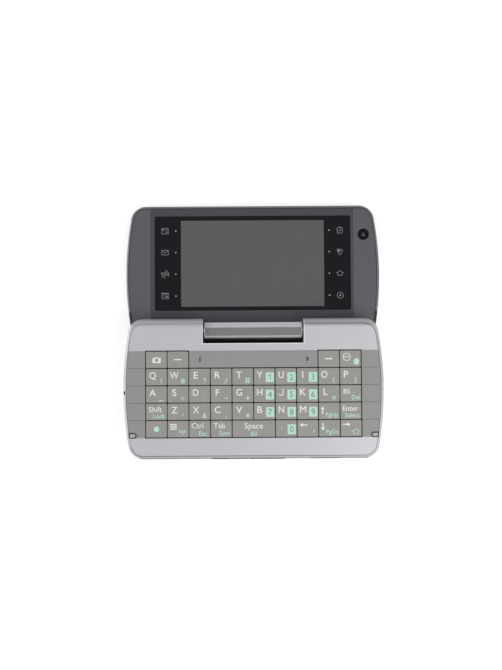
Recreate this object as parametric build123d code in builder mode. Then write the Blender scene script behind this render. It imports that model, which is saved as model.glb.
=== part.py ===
from build123d import *
from math import sqrt
import os

# A landscape clamshell phone, opened flat: a keyboard base in front and a screen lid behind.
# X runs along the hinge, Y from the base to the lid and Z up. The origin is on the surface
# that the phone lies on, straight under the middle of the hinge axis. Sizes are millimetres.

# Key grid, counted from the hinge, and the deck's margins round it
column_pitch = 9.64
columns = 10
row_pitch = 7.74
rows = 5
corner_keys = 2
rear_margin = 9.35
side_margin = 10.1
front_margin = 9.75

# Outline that the two halves share
side_radius = 150.0
corner_radius = 7.0

# Hinge axis and the levels that follow from it
axis_height = 11.0
deck_rise = 5.1
lid_drop = 5.6
swing_gap = 0.3
lid_end = 5.5
dock_gap = 0.9
table_gap = 0.05

# Base tray
tray_edge_bevel = 2.2
rim_edge_radius = 1.2
rim_side = 1.4
rim_front = 1.4
cover_rear = 2.65
tray_wall = 2.8
tray_floor = 1.5
ledge_wall = 1.6
seam_gap = 0.05
cover_seam = 0.15

# Hinge
notch_width = 45.3
notch_depth = 6.0
knuckle_end_gap = 0.7
knuckle_radius = 4.3
knuckle_top = 3.4
knuckle_flat_front = -2.7
knuckle_flat_rear = 1.15
knuckle_front_rise = 1.0
web_front = -2.5
web_rear = 3.55
web_rise = 0.9
web_foot_gap = 0.5
pin_radius = 1.6
pin_running_gap = 0.05
pin_press_gap = 0.02
pin_in_knuckle = 8.0
pin_in_base = 11.0
pin_end_gap = 0.3

# Foot under the base: battery cover on the left, camera end on the right
foot_side = 3.6
foot_front = 3.2
foot_corner = 6.0
foot_edge_bevel = 1.6
foot_split = 22.0
cover_gap = 0.15
foot_wall = 1.3
foot_floor = 1.2
battery_left_room = 4.0
battery_right_room = 13.0
battery_side_room = 2.8
battery_thickness = 4.9
battery_corner = 1.0
battery_gap = 0.3
battery_pocket = 0.9

# Camera that looks out of the foot
camera_from_split = 17.0
camera_from_rear = 13.6
camera_hole_radius = 3.6
camera_lens_radius = 3.3
camera_recess = 0.4
camera_block = 9.0
camera_block_gap = 0.5
speaker_from_front = 13.6
speaker_slot_length = 9.0
speaker_slot_width = 0.9
speaker_slot_pitch = 2.2
speaker_slot_count = 4

# Circuit board on its posts
board_side_gap = 5.0
board_end_gap = 2.6
board_thickness = 1.0
board_corner = 3.0
post_height = 1.4
post_width = 4.0
post_inset = 4.0
shield_height = 2.4
shield_length = 30.0
shield_depth = 30.0
shield_places = (-25.0, 18.0)

# Top cover and key panel
cover_thickness = 1.5
panel_thickness = 0.7
cover_corner = 5.4
panel_groove_width = 0.25
panel_groove_depth = 0.15
indicator_x = 23.9
indicator_radius = 0.35
indicator_depth = 0.3

# Keys
key_gap = 0.36
key_edge_gap = 0.25
key_bevel = 0.22
key_thickness = 1.5
key_proud = 0.15
key_travel = 0.25
key_bottom_gap = 0.05
sheet_thickness = 0.8
pad_height = 0.3
pad_length = 4.0
pad_depth = 3.0
sheet_margin = 1.2

# Rubber bumpers that the closed lid rests on
bumper_from_side = 4.4
bumper_from_front = 10.45
bumper_length = 3.2
bumper_depth = 2.4
bumper_proud = 0.4
bumper_gap = 0.25

# Rocker key and covers in the front edge
rocker_x = -2.45
rocker_length = 33.2
rocker_height = 2.4
rocker_depth = 2.3
rocker_gap = 0.3
rocker_rise = 1.4
rocker_proud = 0.3
rocker_split_width = 0.5
rocker_split_depth = 0.35
card_door_x = -41.2
card_door_length = 18.0
port_door_x = 31.9
port_door_length = 13.6
door_corner = 0.7
door_line = 0.3
door_line_depth = 0.35
door_proud = 0.2

# Lid shells
lid_edge_radius = 2.4
lid_wall = 1.3
lid_side_wall = 1.9
lid_trim = 1.1
lid_rim_drop = 0.5
lid_rim_bevel = 0.7
cap_split = 8.9
cap_gap = 0.2
bezel_thickness = 1.6
bezel_gap = 0.2
bezel_bevel = 0.35
side_panel_from_glass = 1.8
side_panel_step = 0.12
side_panel_fall = 0.42

# Display and outer display
glass_width = 90.0
glass_depth = 43.4
glass_from_edge = 4.85
glass_corner = 0.6
glass_thickness = 1.0
glass_recess = 0.05
glass_gap = 0.1
screen_side_room = 8.55
screen_end_room = 0.45
screen_thickness = 2.0
stack_gap = 0.05
outer_width = 34.0
outer_depth = 7.4
outer_corner = 1.5
outer_y = 24.0
outer_recess = 0.1
outer_screen_thickness = 0.9

# Camera in the lid
lid_camera_inboard = 0.6
lid_camera_from_edge = 13.5
lid_camera_radius = 2.55
lid_camera_gap = 0.08
lid_camera_length = 2.7
lid_lens_radius = 1.2
lid_lens_depth = 0.7

# Outline and levels that the sizes above give
keys_half_width = columns * column_pitch / 2
keys_rear = -rear_margin
keys_front = keys_rear - rows * row_pitch
half_width = keys_half_width + side_margin
width = 2 * half_width
reach = front_margin - keys_front
base_front = rocker_proud - reach
deck_z = axis_height + deck_rise
ledge_radius = lid_drop - swing_gap
tray_z = axis_height - ledge_radius
tray_floor_z = tray_z + tray_floor
foot_rear = -(lid_end + dock_gap)
cavity_rear = -(notch_depth + ledge_wall)
lid_face_z = axis_height - lid_drop
lid_rim_z = lid_face_z - lid_rim_drop
swing_radius = axis_height - table_gap
web_foot_z = lid_wall + web_foot_gap
cover_z = deck_z - cover_thickness
panel_z = deck_z - panel_thickness
board_z = tray_floor_z + post_height
key_top_z = deck_z + key_proud
key_bottom_z = key_top_z - key_thickness
pad_top_z = key_bottom_z - key_travel - key_bottom_gap
sheet_top_z = pad_top_z - pad_height
rocker_z = axis_height + rocker_rise
glass_top_z = lid_face_z - glass_recess
glass_bottom_z = glass_top_z - glass_thickness
bezel_z = lid_face_z - bezel_thickness
corner_keys_x = keys_half_width - corner_keys * column_pitch
first_row_y = keys_rear - row_pitch

# Places that follow from the outline
foot_front_y = base_front + foot_front
foot_left_x = foot_side - half_width
foot_middle_y = (foot_front_y + foot_rear) / 2
battery_left = foot_left_x + foot_wall + battery_left_room
battery_right = foot_split - battery_right_room
battery_x = (battery_left + battery_right) / 2
battery_y = foot_middle_y
battery_length = battery_right - battery_left
battery_depth = foot_rear - foot_front_y - 2 * (foot_wall + battery_side_room)
camera_x = foot_split + camera_from_split
camera_y = foot_rear - camera_from_rear
speaker_y = foot_front_y + speaker_from_front
board_half_width = half_width - tray_wall - board_side_gap
board_front = base_front + tray_wall + board_end_gap
board_rear = cavity_rear - board_end_gap
post_x = board_half_width - post_inset
post_front_y = board_front + post_inset
post_rear_y = board_rear - post_inset
bumper_x = half_width - bumper_from_side
bumper_y = base_front + bumper_from_front
glass_y = reach - glass_from_edge - glass_depth / 2
side_panel_x = glass_width / 2 + side_panel_from_glass
screen_width = glass_width - 2 * screen_side_room
screen_depth = glass_depth - 2 * screen_end_room
lid_camera_x = (glass_width / 2 + half_width) / 2 - lid_camera_inboard
lid_camera_y = reach - lid_camera_from_edge

os.makedirs("parts", exist_ok=True)


def save(piece, name):
    """Label a finished piece and write it under its name."""
    piece.label = name
    export_step(piece, f"parts/{name}.step")


def bowed_outline(front, rear, half, corner):
    """Outline with straight ends at front and rear, bowed sides and round corners."""
    middle = (front + rear) / 2
    radius = side_radius - (half_width - half)
    corner_x = half - radius + sqrt(radius**2 - (rear - middle) ** 2)
    with BuildSketch() as outline:
        with BuildLine():
            Line((-corner_x, front), (corner_x, front))
            ThreePointArc((corner_x, front), (half, middle), (corner_x, rear))
            Line((corner_x, rear), (-corner_x, rear))
            ThreePointArc((-corner_x, rear), (-half, middle), (-corner_x, front))
        make_face()
        fillet(outline.vertices(), corner)
    return outline.sketch


def inset(outline, amount):
    """The same outline, moved inwards all round by amount."""
    with BuildSketch() as inner:
        add(outline)
        offset(amount=-amount)
    return inner.sketch


def clipped(outline, x_low, x_high, y_low, y_high):
    """The part of an outline that lies between two X and two Y values."""
    with BuildSketch() as piece:
        add(outline)
        with Locations(((x_low + x_high) / 2, (y_low + y_high) / 2)):
            Rectangle(x_high - x_low, y_high - y_low, mode=Mode.INTERSECT)
    return piece.sketch


def slab(outline, z_low, z_high):
    """An outline extruded between two levels."""
    with BuildPart() as plate:
        with BuildSketch(Plane.XY.offset(z_low)):
            add(outline)
        extrude(amount=z_high - z_low)
    return plate.part


def block(x_low, x_high, y_low, y_high, z_low, z_high):
    """A plain block between its limits."""
    with BuildPart() as box:
        with Locations(((x_low + x_high) / 2, (y_low + y_high) / 2, (z_low + z_high) / 2)):
            Box(x_high - x_low, y_high - y_low, z_high - z_low)
    return box.part


def key_area(margin):
    """Stepped area that the keys fill: four full rows, and corner keys beside the fixed panel."""
    full_rear = first_row_y + margin
    full_front = keys_front - margin
    corner_rear = keys_rear + margin
    corner_width = corner_keys * column_pitch + 2 * margin
    with BuildSketch() as area:
        with Locations((0, (full_rear + full_front) / 2)):
            Rectangle(2 * (keys_half_width + margin), full_rear - full_front)
        corner_middle = corner_keys_x + corner_keys * column_pitch / 2
        with Locations((-corner_middle, (corner_rear + full_front) / 2),
                       (corner_middle, (corner_rear + full_front) / 2)):
            Rectangle(corner_width, corner_rear - full_front)
    return area.sketch


def bumper_outline(margin):
    """Two pads with a square outer end and a round inner end."""
    radius = bumper_depth / 2
    with BuildSketch() as pads:
        for side in (-1, 1):
            inner_x = side * (bumper_x - bumper_length / 2 + radius)
            outer_x = side * (bumper_x + bumper_length / 2 + margin)
            with Locations((inner_x, bumper_y)):
                Circle(radius + margin)
            with Locations(((inner_x + outer_x) / 2, bumper_y)):
                Rectangle(abs(outer_x - inner_x), bumper_depth + 2 * margin)
    return pads.sketch


def door_outlines(margin):
    """Outlines of the card door and the port door in the front wall, moved inwards by margin."""
    with BuildSketch() as doors:
        for door_x, door_length in ((card_door_x, card_door_length), (port_door_x, port_door_length)):
            with Locations((door_x, rocker_z)):
                Rectangle(door_length - 2 * margin, rocker_height + 2 * (door_line - margin))
        chamfer(doors.vertices(), door_corner)
    return doors.sketch


def base_envelope():
    """Space for the base: flat deck, and a rear end that is round about the hinge axis."""
    overrun = 2 * reach
    with BuildPart() as space:
        with BuildSketch(Plane.YZ):
            with Locations((0, axis_height)):
                Circle(ledge_radius)
            with Locations((-overrun / 2, deck_z / 2)):
                Rectangle(overrun, deck_z)
            with Locations((0, deck_z / 2)):
                Rectangle(2 * overrun, deck_z, mode=Mode.INTERSECT)
        extrude(amount=width, both=True)
    return space.part


def lid_envelope(radius, floor_z):
    """Space for the lid: flat back, and a hinge end that is round about the hinge axis."""
    overrun = 2 * reach
    with BuildPart() as space:
        with BuildSketch(Plane.YZ):
            with Locations((0, axis_height)):
                Circle(radius)
            with Locations((overrun / 2, (floor_z + axis_height) / 2)):
                Rectangle(overrun, axis_height - floor_z)
            with Locations((0, (floor_z + axis_height) / 2)):
                Rectangle(2 * overrun, axis_height - floor_z, mode=Mode.INTERSECT)
        extrude(amount=width, both=True)
    return space.part


def foot_block(x_low, x_high, top_z):
    """A length of the foot under the base, with its sloped lower edge."""
    with BuildPart() as foot:
        with BuildSketch():
            add(foot_outline)
        extrude(amount=top_z)
        chamfer(foot.faces().sort_by(Axis.Z)[0].edges(), foot_edge_bevel)
        add(block(x_low, x_high, -reach, 0, 0, top_z), mode=Mode.INTERSECT)
    return foot.part


def lid_shell(y_low, y_high):
    """A length of the lid's outer shell, open towards the screen, with a seat for the bezel."""
    with BuildPart() as shell:
        with BuildSketch():
            add(lid_outline)
        extrude(amount=lid_rim_z)
        fillet(shell.faces().sort_by(Axis.Z)[0].edges(), lid_edge_radius)
        chamfer(shell.faces().sort_by(Axis.Z)[-1].edges(), lid_rim_bevel)
        add(lid_envelope(swing_radius, 0), mode=Mode.INTERSECT)
        with BuildPart(mode=Mode.SUBTRACT):
            add(slab(inset(lid_outline, lid_side_wall), lid_wall, lid_face_z))
            add(lid_envelope(swing_radius - lid_wall, lid_wall), mode=Mode.INTERSECT)
        add(slab(inset(lid_outline, lid_trim), bezel_z, lid_face_z), mode=Mode.SUBTRACT)
        add(block(-width, width, y_low, y_high, 0, lid_face_z), mode=Mode.INTERSECT)
    return shell.part


base_outline = bowed_outline(base_front, ledge_radius, half_width, corner_radius)
cover_outline = bowed_outline(base_front + rim_front, cover_rear, half_width - rim_side, cover_corner)
cavity_outline = bowed_outline(base_front + tray_wall, cavity_rear, half_width - tray_wall, cover_corner)
foot_outline = bowed_outline(foot_front_y, foot_rear, half_width - foot_side, foot_corner)
lid_outline = bowed_outline(-lid_end, reach, half_width, corner_radius)
knuckle_half = notch_width / 2 - knuckle_end_gap
post_places = [(x, y) for x in (-post_x, post_x) for y in (post_front_y, post_rear_y)]
notch = block(-notch_width / 2, notch_width / 2, -notch_depth, reach, 0, 2 * axis_height)


# Bottom case: tray, round hinge ledges with the pin bores, and the camera end of the foot
with BuildPart() as bottom_case:
    with BuildSketch(Plane.XY.offset(tray_z)):
        add(base_outline)
    extrude(amount=deck_z - tray_z)
    chamfer(bottom_case.faces().sort_by(Axis.Z)[0].edges(), tray_edge_bevel)
    fillet(bottom_case.faces().sort_by(Axis.Z)[-1].edges(), rim_edge_radius)
    add(base_envelope(), mode=Mode.INTERSECT)
    add(slab(inset(cover_outline, -cover_seam), cover_z, deck_z), mode=Mode.SUBTRACT)
    add(foot_block(foot_split, width, tray_floor_z))
    camera_room = clipped(inset(foot_outline, foot_wall), foot_split + foot_wall, width, -reach, 0)
    add(slab(camera_room, foot_floor, tray_z), mode=Mode.SUBTRACT)
    add(slab(cavity_outline, tray_floor_z, deck_z), mode=Mode.SUBTRACT)
    add(notch, mode=Mode.SUBTRACT)
    with BuildSketch(Plane.XY.offset(tray_floor_z)):
        with Locations(*post_places):
            Rectangle(post_width, post_width)
    extrude(amount=post_height)
    with BuildSketch(Plane.XY.offset(tray_z)):
        with Locations((battery_x, battery_y)):
            Rectangle(battery_length + 2 * battery_gap, battery_depth + 2 * battery_gap)
    extrude(amount=battery_pocket, mode=Mode.SUBTRACT)
    with BuildSketch():
        with Locations((camera_x, camera_y)):
            Circle(camera_hole_radius)
    extrude(amount=foot_floor, mode=Mode.SUBTRACT)
    with BuildSketch(Plane.XY.offset(tray_z)):
        with Locations((camera_x, camera_y)):
            Rectangle(camera_block + 2 * camera_block_gap, camera_block + 2 * camera_block_gap)
    extrude(amount=tray_floor, mode=Mode.SUBTRACT)
    with BuildSketch():
        with Locations((camera_x, speaker_y)):
            with GridLocations(0, speaker_slot_pitch, 1, speaker_slot_count):
                Rectangle(speaker_slot_length, speaker_slot_width)
    extrude(amount=foot_floor, mode=Mode.SUBTRACT)
    with BuildSketch(Plane.YZ):
        with Locations((0, axis_height)):
            Circle(pin_radius + pin_running_gap)
    extrude(amount=notch_width / 2 + pin_in_base, both=True, mode=Mode.SUBTRACT)
    with BuildSketch(Plane.XZ.offset(-base_front)):
        with Locations((rocker_x, rocker_z)):
            SlotOverall(rocker_length + 2 * rocker_gap, rocker_height + 2 * rocker_gap)
    extrude(amount=-tray_wall, mode=Mode.SUBTRACT)
    with BuildSketch(Plane.XZ.offset(-base_front)):
        add(door_outlines(0))
    extrude(amount=-door_line_depth, mode=Mode.SUBTRACT)
    with BuildSketch(Plane.XZ.offset(-base_front - door_line_depth)):
        add(door_outlines(door_line))
    extrude(amount=door_line_depth + door_proud)
save(bottom_case.part, "bottom_case")


# Top cover: silver deck with a channel for the key panel and the stepped key window
with BuildPart() as top_cover:
    with BuildSketch(Plane.XY.offset(cover_z)):
        add(cover_outline)
    extrude(amount=cover_thickness)
    add(base_envelope(), mode=Mode.INTERSECT)
    add(block(-width, width, keys_front, keys_rear, panel_z, deck_z), mode=Mode.SUBTRACT)
    add(slab(key_area(key_edge_gap), cover_z, deck_z), mode=Mode.SUBTRACT)
    add(slab(bumper_outline(bumper_gap), panel_z, deck_z), mode=Mode.SUBTRACT)
    add(notch, mode=Mode.SUBTRACT)
save(top_cover.part, "top_cover")


# Key panel: grey band from rim to rim, with lines that carry the key rows out to the sides
with BuildPart() as key_panel:
    band = clipped(cover_outline, -width, width, keys_front + seam_gap, keys_rear - seam_gap)
    with BuildSketch(Plane.XY.offset(panel_z)):
        add(band)
    extrude(amount=panel_thickness)
    add(slab(key_area(key_edge_gap), panel_z, deck_z), mode=Mode.SUBTRACT)
    add(slab(bumper_outline(bumper_gap), panel_z, deck_z), mode=Mode.SUBTRACT)
    with BuildSketch(Plane.XY.offset(deck_z)):
        for row in range(1, rows):
            with Locations((0, keys_rear - row * row_pitch)):
                Rectangle(width, panel_groove_width)
        with Locations((0, (keys_front + first_row_y) / 2)):
            Rectangle(2 * keys_half_width, first_row_y - keys_front + row_pitch, mode=Mode.SUBTRACT)
    extrude(amount=-panel_groove_depth, mode=Mode.SUBTRACT)
    with BuildSketch(Plane.XY.offset(deck_z)):
        with Locations((-indicator_x, keys_rear - row_pitch / 2), (indicator_x, keys_rear - row_pitch / 2)):
            Circle(indicator_radius)
    extrude(amount=-indicator_depth, mode=Mode.SUBTRACT)
save(key_panel.part, "key_panel")


# Keys, by row from the hinge: name, first column and how many columns wide
key_rows = [
    [("camera", 0, 1), ("soft_left", 1, 1), ("soft_right", 8, 1), ("end", 9, 1)],
    [(letter, column, 1) for column, letter in enumerate("qwertyuiop")],
    [(letter, column, 1) for column, letter in enumerate("asdfghjkl")] + [("backspace", 9, 1)],
    [("shift", 0, 1)] + [(letter, column + 1, 1) for column, letter in enumerate("zxcvbnm")]
    + [("up", 8, 1), ("enter", 9, 1)],
    [("dot", 0, 1), ("menu", 1, 1), ("ctrl", 2, 1), ("tab", 3, 1), ("space", 4, 2),
     ("zero", 6, 1), ("left", 7, 1), ("down", 8, 1), ("right", 9, 1)],
]


def key_middle(row, column, span):
    """Middle of a key, from the row and column grid."""
    return ((column + span / 2) * column_pitch - keys_half_width, keys_rear - (row + 0.5) * row_pitch)


for row, keys in enumerate(key_rows):
    for key_name, column, span in keys:
        with BuildPart() as key:
            with BuildSketch(Plane.XY.offset(key_bottom_z)):
                with Locations(key_middle(row, column, span)):
                    Rectangle(span * column_pitch - key_gap, row_pitch - key_gap)
            extrude(amount=key_thickness)
            chamfer(key.faces().sort_by(Axis.Z)[-1].edges(), key_bevel)
        save(key.part, f"key_{key_name}")


# Keypad sheet: rubber mat with one raised pad under each key
with BuildPart() as keypad_sheet:
    with BuildSketch(Plane.XY.offset(sheet_top_z)):
        add(key_area(sheet_margin))
    extrude(amount=-sheet_thickness)
    with BuildSketch(Plane.XY.offset(sheet_top_z)):
        for row, keys in enumerate(key_rows):
            for key_name, column, span in keys:
                with Locations(key_middle(row, column, span)):
                    Rectangle(pad_length, pad_depth)
    extrude(amount=pad_height)
save(keypad_sheet.part, "keypad_sheet")


# Main board on its posts, with its shields and the camera that reaches down into the foot
with BuildPart() as main_board:
    with BuildSketch(Plane.XY.offset(board_z)):
        with Locations((0, (board_front + board_rear) / 2)):
            RectangleRounded(2 * board_half_width, board_rear - board_front, board_corner)
    extrude(amount=board_thickness)
    with BuildSketch(Plane.XY.offset(board_z + board_thickness)):
        with Locations(*[(x, (board_front + board_rear) / 2) for x in shield_places]):
            Rectangle(shield_length, shield_depth)
    extrude(amount=shield_height)
    with BuildSketch(Plane.XY.offset(board_z)):
        with Locations((camera_x, camera_y)):
            Rectangle(camera_block, camera_block)
    extrude(amount=-(board_z - foot_floor - camera_block_gap))
    with BuildSketch(Plane.XY.offset(camera_recess)):
        with Locations((camera_x, camera_y)):
            Circle(camera_lens_radius)
    extrude(amount=foot_floor + camera_block_gap - camera_recess)
save(main_board.part, "main_board")


# Battery, in the pocket that the floor and the foot make
with BuildPart() as battery:
    with BuildSketch(Plane.XY.offset(tray_z + battery_pocket - cover_gap)):
        with Locations((battery_x, battery_y)):
            RectangleRounded(battery_length, battery_depth, battery_corner)
    extrude(amount=-battery_thickness)
save(battery.part, "battery")


# Battery cover: long end of the foot, open at the end that meets the camera end
with BuildPart() as battery_cover:
    add(foot_block(-width, foot_split - cover_gap, tray_z - cover_gap))
    add(slab(inset(foot_outline, foot_wall), foot_floor, tray_z), mode=Mode.SUBTRACT)
save(battery_cover.part, "battery_cover")


# Lid bumpers in their pockets
with BuildPart() as lid_bumpers:
    with BuildSketch(Plane.XY.offset(panel_z)):
        add(bumper_outline(0))
        add(inset(cover_outline, seam_gap), mode=Mode.INTERSECT)
    extrude(amount=panel_thickness + bumper_proud)
save(lid_bumpers.part, "lid_bumpers")


# Rocker key in the front edge, with a groove across its middle
with BuildPart() as volume_rocker:
    with BuildSketch(Plane.XZ.offset(reach)):
        with Locations((rocker_x, rocker_z)):
            SlotOverall(rocker_length, rocker_height)
    extrude(amount=-rocker_depth)
    with BuildSketch(Plane.XZ.offset(reach)):
        with Locations((rocker_x, rocker_z)):
            Rectangle(rocker_split_width, rocker_height)
    extrude(amount=-rocker_split_depth, mode=Mode.SUBTRACT)
save(volume_rocker.part, "volume_rocker")


# Hinge knuckle: flat-topped barrel on a web that passes through the bezel into the lid
with BuildPart() as hinge_knuckle:
    with BuildSketch(Plane.YZ):
        with Locations((0, axis_height)):
            Circle(knuckle_radius)
        with BuildLine():
            Polyline((web_rear, axis_height - knuckle_radius),
                     (web_rear, axis_height + web_rise),
                     (knuckle_flat_rear, axis_height + knuckle_top),
                     (knuckle_flat_front, axis_height + knuckle_top),
                     (-knuckle_radius, axis_height + knuckle_front_rise),
                     (-knuckle_radius, axis_height - knuckle_radius), close=True)
        make_face(mode=Mode.INTERSECT)
        with Locations(((web_front + web_rear) / 2, (web_foot_z + axis_height) / 2)):
            Rectangle(web_rear - web_front, axis_height - web_foot_z)
    extrude(amount=knuckle_half, both=True)
    with BuildSketch(Plane.YZ.offset(knuckle_half)):
        with Locations((0, axis_height)):
            Circle(pin_radius + pin_press_gap)
    extrude(amount=-pin_in_knuckle, mode=Mode.SUBTRACT)
    with BuildSketch(Plane.YZ.offset(-knuckle_half)):
        with Locations((0, axis_height)):
            Circle(pin_radius + pin_press_gap)
    extrude(amount=pin_in_knuckle, mode=Mode.SUBTRACT)
save(hinge_knuckle.part, "hinge_knuckle")


# Hinge pins: held in the knuckle, turning in the base's ledges
pin_inner_x = knuckle_half - pin_in_knuckle
pin_outer_x = notch_width / 2 + pin_in_base - pin_end_gap
with BuildPart() as hinge_pins:
    for side in (-1, 1):
        with BuildSketch(Plane.YZ.offset(side * pin_inner_x)):
            with Locations((0, axis_height)):
                Circle(pin_radius)
        extrude(amount=side * (pin_outer_x - pin_inner_x))
save(hinge_pins.part, "hinge_pins")


# Lid bezel: dark plate with the glass window, side panels that fall away, and the web slot
with BuildPart() as lid_bezel:
    with BuildSketch(Plane.XY.offset(bezel_z)):
        add(inset(lid_outline, lid_trim + bezel_gap))
    extrude(amount=bezel_thickness)
    chamfer(lid_bezel.faces().sort_by(Axis.Z)[-1].edges(), bezel_bevel)
    with BuildSketch(Plane.XZ.offset(-reach)):
        for side in (-1, 1):
            with BuildLine():
                Polyline((side * side_panel_x, lid_face_z), (side * half_width, lid_face_z),
                         (side * half_width, lid_face_z - side_panel_fall),
                         (side * side_panel_x, lid_face_z - side_panel_step), close=True)
            make_face()
    extrude(amount=2 * reach, mode=Mode.SUBTRACT)
    with BuildSketch(Plane.XY.offset(bezel_z)):
        with Locations((0, glass_y)):
            RectangleRounded(glass_width + 2 * glass_gap, glass_depth + 2 * glass_gap, glass_corner)
        with Locations((0, (web_front + web_rear) / 2)):
            Rectangle(2 * (knuckle_half + glass_gap), web_rear - web_front + 2 * glass_gap)
        with Locations((lid_camera_x, lid_camera_y)):
            Circle(lid_camera_radius + lid_camera_gap)
    extrude(amount=bezel_thickness, mode=Mode.SUBTRACT)
save(lid_bezel.part, "lid_bezel")


# Lid cover: silver back shell with the window of the outer display
with BuildPart() as lid_cover:
    add(lid_shell(cap_split + cap_gap, reach))
    with BuildSketch():
        with Locations((0, outer_y)):
            RectangleRounded(outer_width + 2 * glass_gap, outer_depth + 2 * glass_gap, outer_corner)
    extrude(amount=lid_wall, mode=Mode.SUBTRACT)
save(lid_cover.part, "lid_cover")


# End cap: black hinge end of the lid's shell
with BuildPart() as end_cap:
    add(lid_shell(-reach, cap_split))
save(end_cap.part, "end_cap")


# Display glass over the whole window, and the small outer window
with BuildPart() as display_glass:
    with BuildSketch(Plane.XY.offset(glass_bottom_z)):
        with Locations((0, glass_y)):
            RectangleRounded(glass_width, glass_depth, glass_corner)
    extrude(amount=glass_thickness)
    with BuildSketch(Plane.XY.offset(outer_recess)):
        with Locations((0, outer_y)):
            RectangleRounded(outer_width, outer_depth, outer_corner)
    extrude(amount=lid_wall - outer_recess)
save(display_glass.part, "display_glass")


# Display module under the glass, and the outer display above its window
with BuildPart() as display_module:
    with BuildSketch(Plane.XY.offset(glass_bottom_z - stack_gap)):
        with Locations((0, glass_y)):
            Rectangle(screen_width, screen_depth)
    extrude(amount=-screen_thickness)
    with BuildSketch(Plane.XY.offset(lid_wall + stack_gap)):
        with Locations((0, outer_y)):
            Rectangle(outer_width, outer_depth)
    extrude(amount=outer_screen_thickness)
save(display_module.part, "display_module")


# Camera in the lid: stepped barrel with a sunk lens
with BuildPart() as lid_camera:
    with BuildSketch(Plane.XY.offset(lid_face_z - side_panel_fall / 2)):
        with Locations((lid_camera_x, lid_camera_y)):
            Circle(lid_camera_radius)
    extrude(amount=-lid_camera_length)
    with BuildSketch(Plane.XY.offset(lid_face_z - side_panel_fall / 2)):
        with Locations((lid_camera_x, lid_camera_y)):
            Circle(lid_lens_radius)
    extrude(amount=-lid_lens_depth, mode=Mode.SUBTRACT)
save(lid_camera.part, "lid_camera")
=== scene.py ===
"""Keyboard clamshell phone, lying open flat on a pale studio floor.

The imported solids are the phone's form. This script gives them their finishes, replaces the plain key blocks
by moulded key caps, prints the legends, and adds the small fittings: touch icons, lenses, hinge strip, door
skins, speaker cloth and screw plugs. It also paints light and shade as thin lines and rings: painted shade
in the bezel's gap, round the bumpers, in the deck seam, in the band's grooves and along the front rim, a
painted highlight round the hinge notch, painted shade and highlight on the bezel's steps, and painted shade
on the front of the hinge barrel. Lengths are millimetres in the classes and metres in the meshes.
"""

import functools
import logging
import math
from collections.abc import Callable, Iterable, Sequence
from dataclasses import dataclass, field
from enum import Enum, StrEnum
from itertools import chain

import bpy
import numpy as np
from mathutils import Euler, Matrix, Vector

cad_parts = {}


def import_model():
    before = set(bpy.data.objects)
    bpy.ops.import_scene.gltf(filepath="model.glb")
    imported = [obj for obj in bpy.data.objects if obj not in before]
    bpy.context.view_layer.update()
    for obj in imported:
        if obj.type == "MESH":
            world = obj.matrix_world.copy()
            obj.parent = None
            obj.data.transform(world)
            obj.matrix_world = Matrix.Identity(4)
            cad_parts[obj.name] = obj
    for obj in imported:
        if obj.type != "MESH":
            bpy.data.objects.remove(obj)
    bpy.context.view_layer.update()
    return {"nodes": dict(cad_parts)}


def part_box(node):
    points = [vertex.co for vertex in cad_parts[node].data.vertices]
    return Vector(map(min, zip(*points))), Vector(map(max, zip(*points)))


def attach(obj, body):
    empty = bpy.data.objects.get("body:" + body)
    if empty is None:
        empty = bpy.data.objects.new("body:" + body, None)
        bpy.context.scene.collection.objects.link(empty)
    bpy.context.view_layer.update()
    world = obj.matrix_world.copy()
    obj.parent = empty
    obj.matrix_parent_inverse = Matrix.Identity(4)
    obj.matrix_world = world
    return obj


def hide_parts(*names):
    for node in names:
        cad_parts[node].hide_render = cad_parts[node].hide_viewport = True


log = logging.getLogger("scene")

MM = 0.001  # metres in a millimetre
LAYER = 0.002  # millimetres between prints that overlap, so that no two faces coincide
LEAST_RADIUS = 0.03  # millimetres: the smallest corner or circle, in place of a point
CORNER_POINTS = 14  # points on each corner of the phone's outline
SIDE_POINTS = 26  # points on each bowed side of it, with the two that it shares with the corners
TURN_POINTS = 48  # points on each circle of a revolved surface
PATCH_SHARES = np.linspace(1.0, 0.02, 6)  # size of each ring on a patch, as a share of its outline
SHARP_FROM = 32.0  # degrees: edges that turn more than this stay sharp

Point = tuple[float, float]
Triple = tuple[float, float, float]
Line = Sequence[Point] | np.ndarray
Colour = tuple[float, float, float, float]
Socket = bpy.types.NodeSocket


class Body(StrEnum):
    """The bodies that pieces ride on, apart from the keys."""

    BASE = "base"
    LID = "lid"
    BATTERY_COVER = "battery_cover"


class Anchor(Enum):
    """How lettering stands on its place: on its baseline, or by the middle of its outline."""

    BASELINE = 0
    MIDDLE = 1


# Surfaces


@dataclass
class Surface:
    """Points in millimetres, and the faces over them, which point outwards."""

    points: np.ndarray
    faces: list[list[int]]

    def moved(self, x: float, y: float, z: float = 0.0) -> "Surface":
        """Returns the surface shifted by x, y and z."""
        return Surface(self.points + (x, y, z), self.faces)

    def draped(self, height: Callable[[np.ndarray, np.ndarray], np.ndarray]) -> "Surface":
        """Returns the surface with each point lifted by the height of the ground under it."""
        points = self.points.copy()
        points[:, 2] += height(points[:, 0], points[:, 1])
        return Surface(points, self.faces)

    def stretched(self, x: float, y: float = 1.0) -> "Surface":
        """Returns the surface scaled along X and along Y, from the origin."""
        return Surface(self.points * (x, y, 1), self.faces)

    def upright(self) -> "Surface":
        """Returns the surface stood up: what faced upwards faces the front, and depth becomes height."""
        x, y, z = self.points.T
        return Surface(np.column_stack((x, -z, y)), self.faces)


def joined(surfaces: Iterable[Surface]) -> Surface:
    """Puts several surfaces into one.

    Args:
        surfaces: the surfaces, each closed in itself.

    Returns:
        One surface with the points one after another, and each face's numbers shifted to its own points.
    """
    parts = list(surfaces)
    starts = np.cumsum([0] + [len(part.points) for part in parts])
    faces = [[start + i for i in face] for part, start in zip(parts, starts) for face in part.faces]
    return Surface(np.vstack([part.points for part in parts]), faces)


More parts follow.
